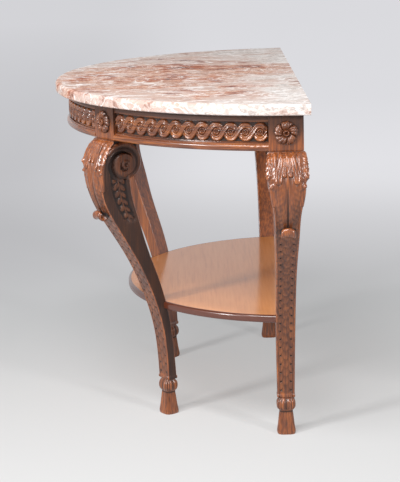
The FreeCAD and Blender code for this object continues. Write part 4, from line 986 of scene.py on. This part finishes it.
def paperBackdrop(name):
    # matt paper that takes the shadows; away from the table the camera and mirrors see its own grey, painted
    # lighter and darker by depth and in painted shade towards the left
    material, tree = newMaterial(name)
    place = addNode(tree, "TexCoord").outputs["Object"]
    away = addNode(tree, "VectorMath", {0: place}, operation="LENGTH").outputs["Value"]
    fade = addNode(tree, "MapRange", {
        "Value": away, 1: studio["fadeFrom"], 2: studio["fadeTo"]}, interpolation_type="SMOOTHSTEP")
    shine = addNode(tree, "MapRange", {"Value": fade, 3: studio["glow"], 4: 1.0})
    spot = addNode(tree, "SeparateXYZ", {"Vector": place})
    deep = addNode(tree, "MapRange", {
        "Value": spot.outputs["X"], 1: studio["depth"][0], 2: studio["depth"][1]})
    # painted light and shade: the grey by depth, and a painted shade towards the left
    grey = addNode(tree, "ValToRGB", {"Fac": deep}, studio["greys"])
    leftShare = addNode(tree, "ValToRGB", {"Fac": deep}, studio["leftShares"])
    dim = addNode(tree, "MapRange", {
        "Value": spot.outputs["Y"], 1: studio["across"][0], 2: studio["across"][1], 3: leftShare, 4: 1.0},
        interpolation_type="SMOOTHSTEP")
    seen = addNode(tree, "LightPath").outputs
    mirrored = addNode(tree, "Math", {0: seen["Is Glossy Ray"], 1: fade}, operation="MULTIPLY")
    part = addNode(tree, "Math", {0: seen["Is Camera Ray"], 1: shine, 2: mirrored}, operation="MULTIPLY_ADD")
    ground = addNode(tree, "Mix", {
        "Factor": seen["Is Camera Ray"], 6: linear(studio["floorBounce"]), 7: grey}, data_type="RGBA")
    matt = addNode(tree, "BsdfDiffuse", {"Color": ground.outputs[2]})
    even = addNode(tree, "Emission", {"Color": grey, "Strength": dim})
    mix = addNode(tree, "MixShader", {0: part, 1: matt, 2: even})
    addNode(tree, "OutputMaterial", {"Surface": mix})
    return material


spokes = np.linspace(0, 2 * np.pi, studio["spokes"], endpoint=False)
disc = np.stack([np.cos(spokes), np.sin(spokes), 0 * spokes], axis=1) * studio["radius"]
floorMesh = bpy.data.meshes.new("floor")
floorMesh.from_pydata(disc.tolist(), [], [list(range(len(spokes)))])
floor = bpy.data.objects.new("floor", floorMesh)
scene.collection.objects.link(floor)
floorMesh.materials.append(paperBackdrop("paper_backdrop_matt"))

world = bpy.data.worlds.new("studio")
scene.world = world
world.use_nodes = True
tree = world.node_tree
tree.nodes.clear()
seen = addNode(tree, "LightPath").outputs
shownTo = addNode(tree, "Math", {0: seen["Is Camera Ray"], 1: seen["Is Glossy Ray"]}, operation="MAXIMUM")
plain = addNode(tree, "Background", {"Color": (1, 1, 1, 1), "Strength": studio["ambient"]})
shown = addNode(tree, "Background", {"Color": linear(studio["backdrop"]), "Strength": 1.0})
mix = addNode(tree, "MixShader", {0: shownTo, 1: plain, 2: shown})
addNode(tree, "OutputWorld", {"Surface": mix})

for name, (watts, place, across) in studio["lamps"].items():
    lamp = bpy.data.lights.new(name, "AREA")
    lamp.energy, lamp.size = watts, across
    light = bpy.data.objects.new(name, lamp)
    light.location = place
    light.rotation_euler = (Vector(studio["aim"]) - light.location).to_track_quat("-Z", "Y").to_euler()
    scene.collection.objects.link(light)
print("studio lit")

# Camera solved from the photograph: place in metres, angles in degrees, lens in mm
cameraSet = {
    "place": (4.166, 0.048, 1.333), "yaw": 179.91, "pitch": -12.72, "roll": -1.4805,
    "lens": 119.2, "sensor": 36,
}
yaw, pitch, roll = (math.radians(cameraSet[key]) for key in ("yaw", "pitch", "roll"))
ahead = Vector((math.cos(pitch) * math.cos(yaw), math.cos(pitch) * math.sin(yaw), math.sin(pitch)))
side = ahead.cross(Vector((0, 0, 1))).normalized()
above = side.cross(ahead)
side, above = side * math.cos(roll) + above * math.sin(roll), above * math.cos(roll) - side * math.sin(roll)
lens = bpy.data.cameras.new("camera")
lens.lens, lens.sensor_width = cameraSet["lens"], cameraSet["sensor"]
camera = bpy.data.objects.new("camera", lens)
turned = Matrix((side, above, -ahead)).transposed().to_4x4()
camera.matrix_world = Matrix.Translation(cameraSet["place"]) @ turned
scene.collection.objects.link(camera)
scene.camera = camera
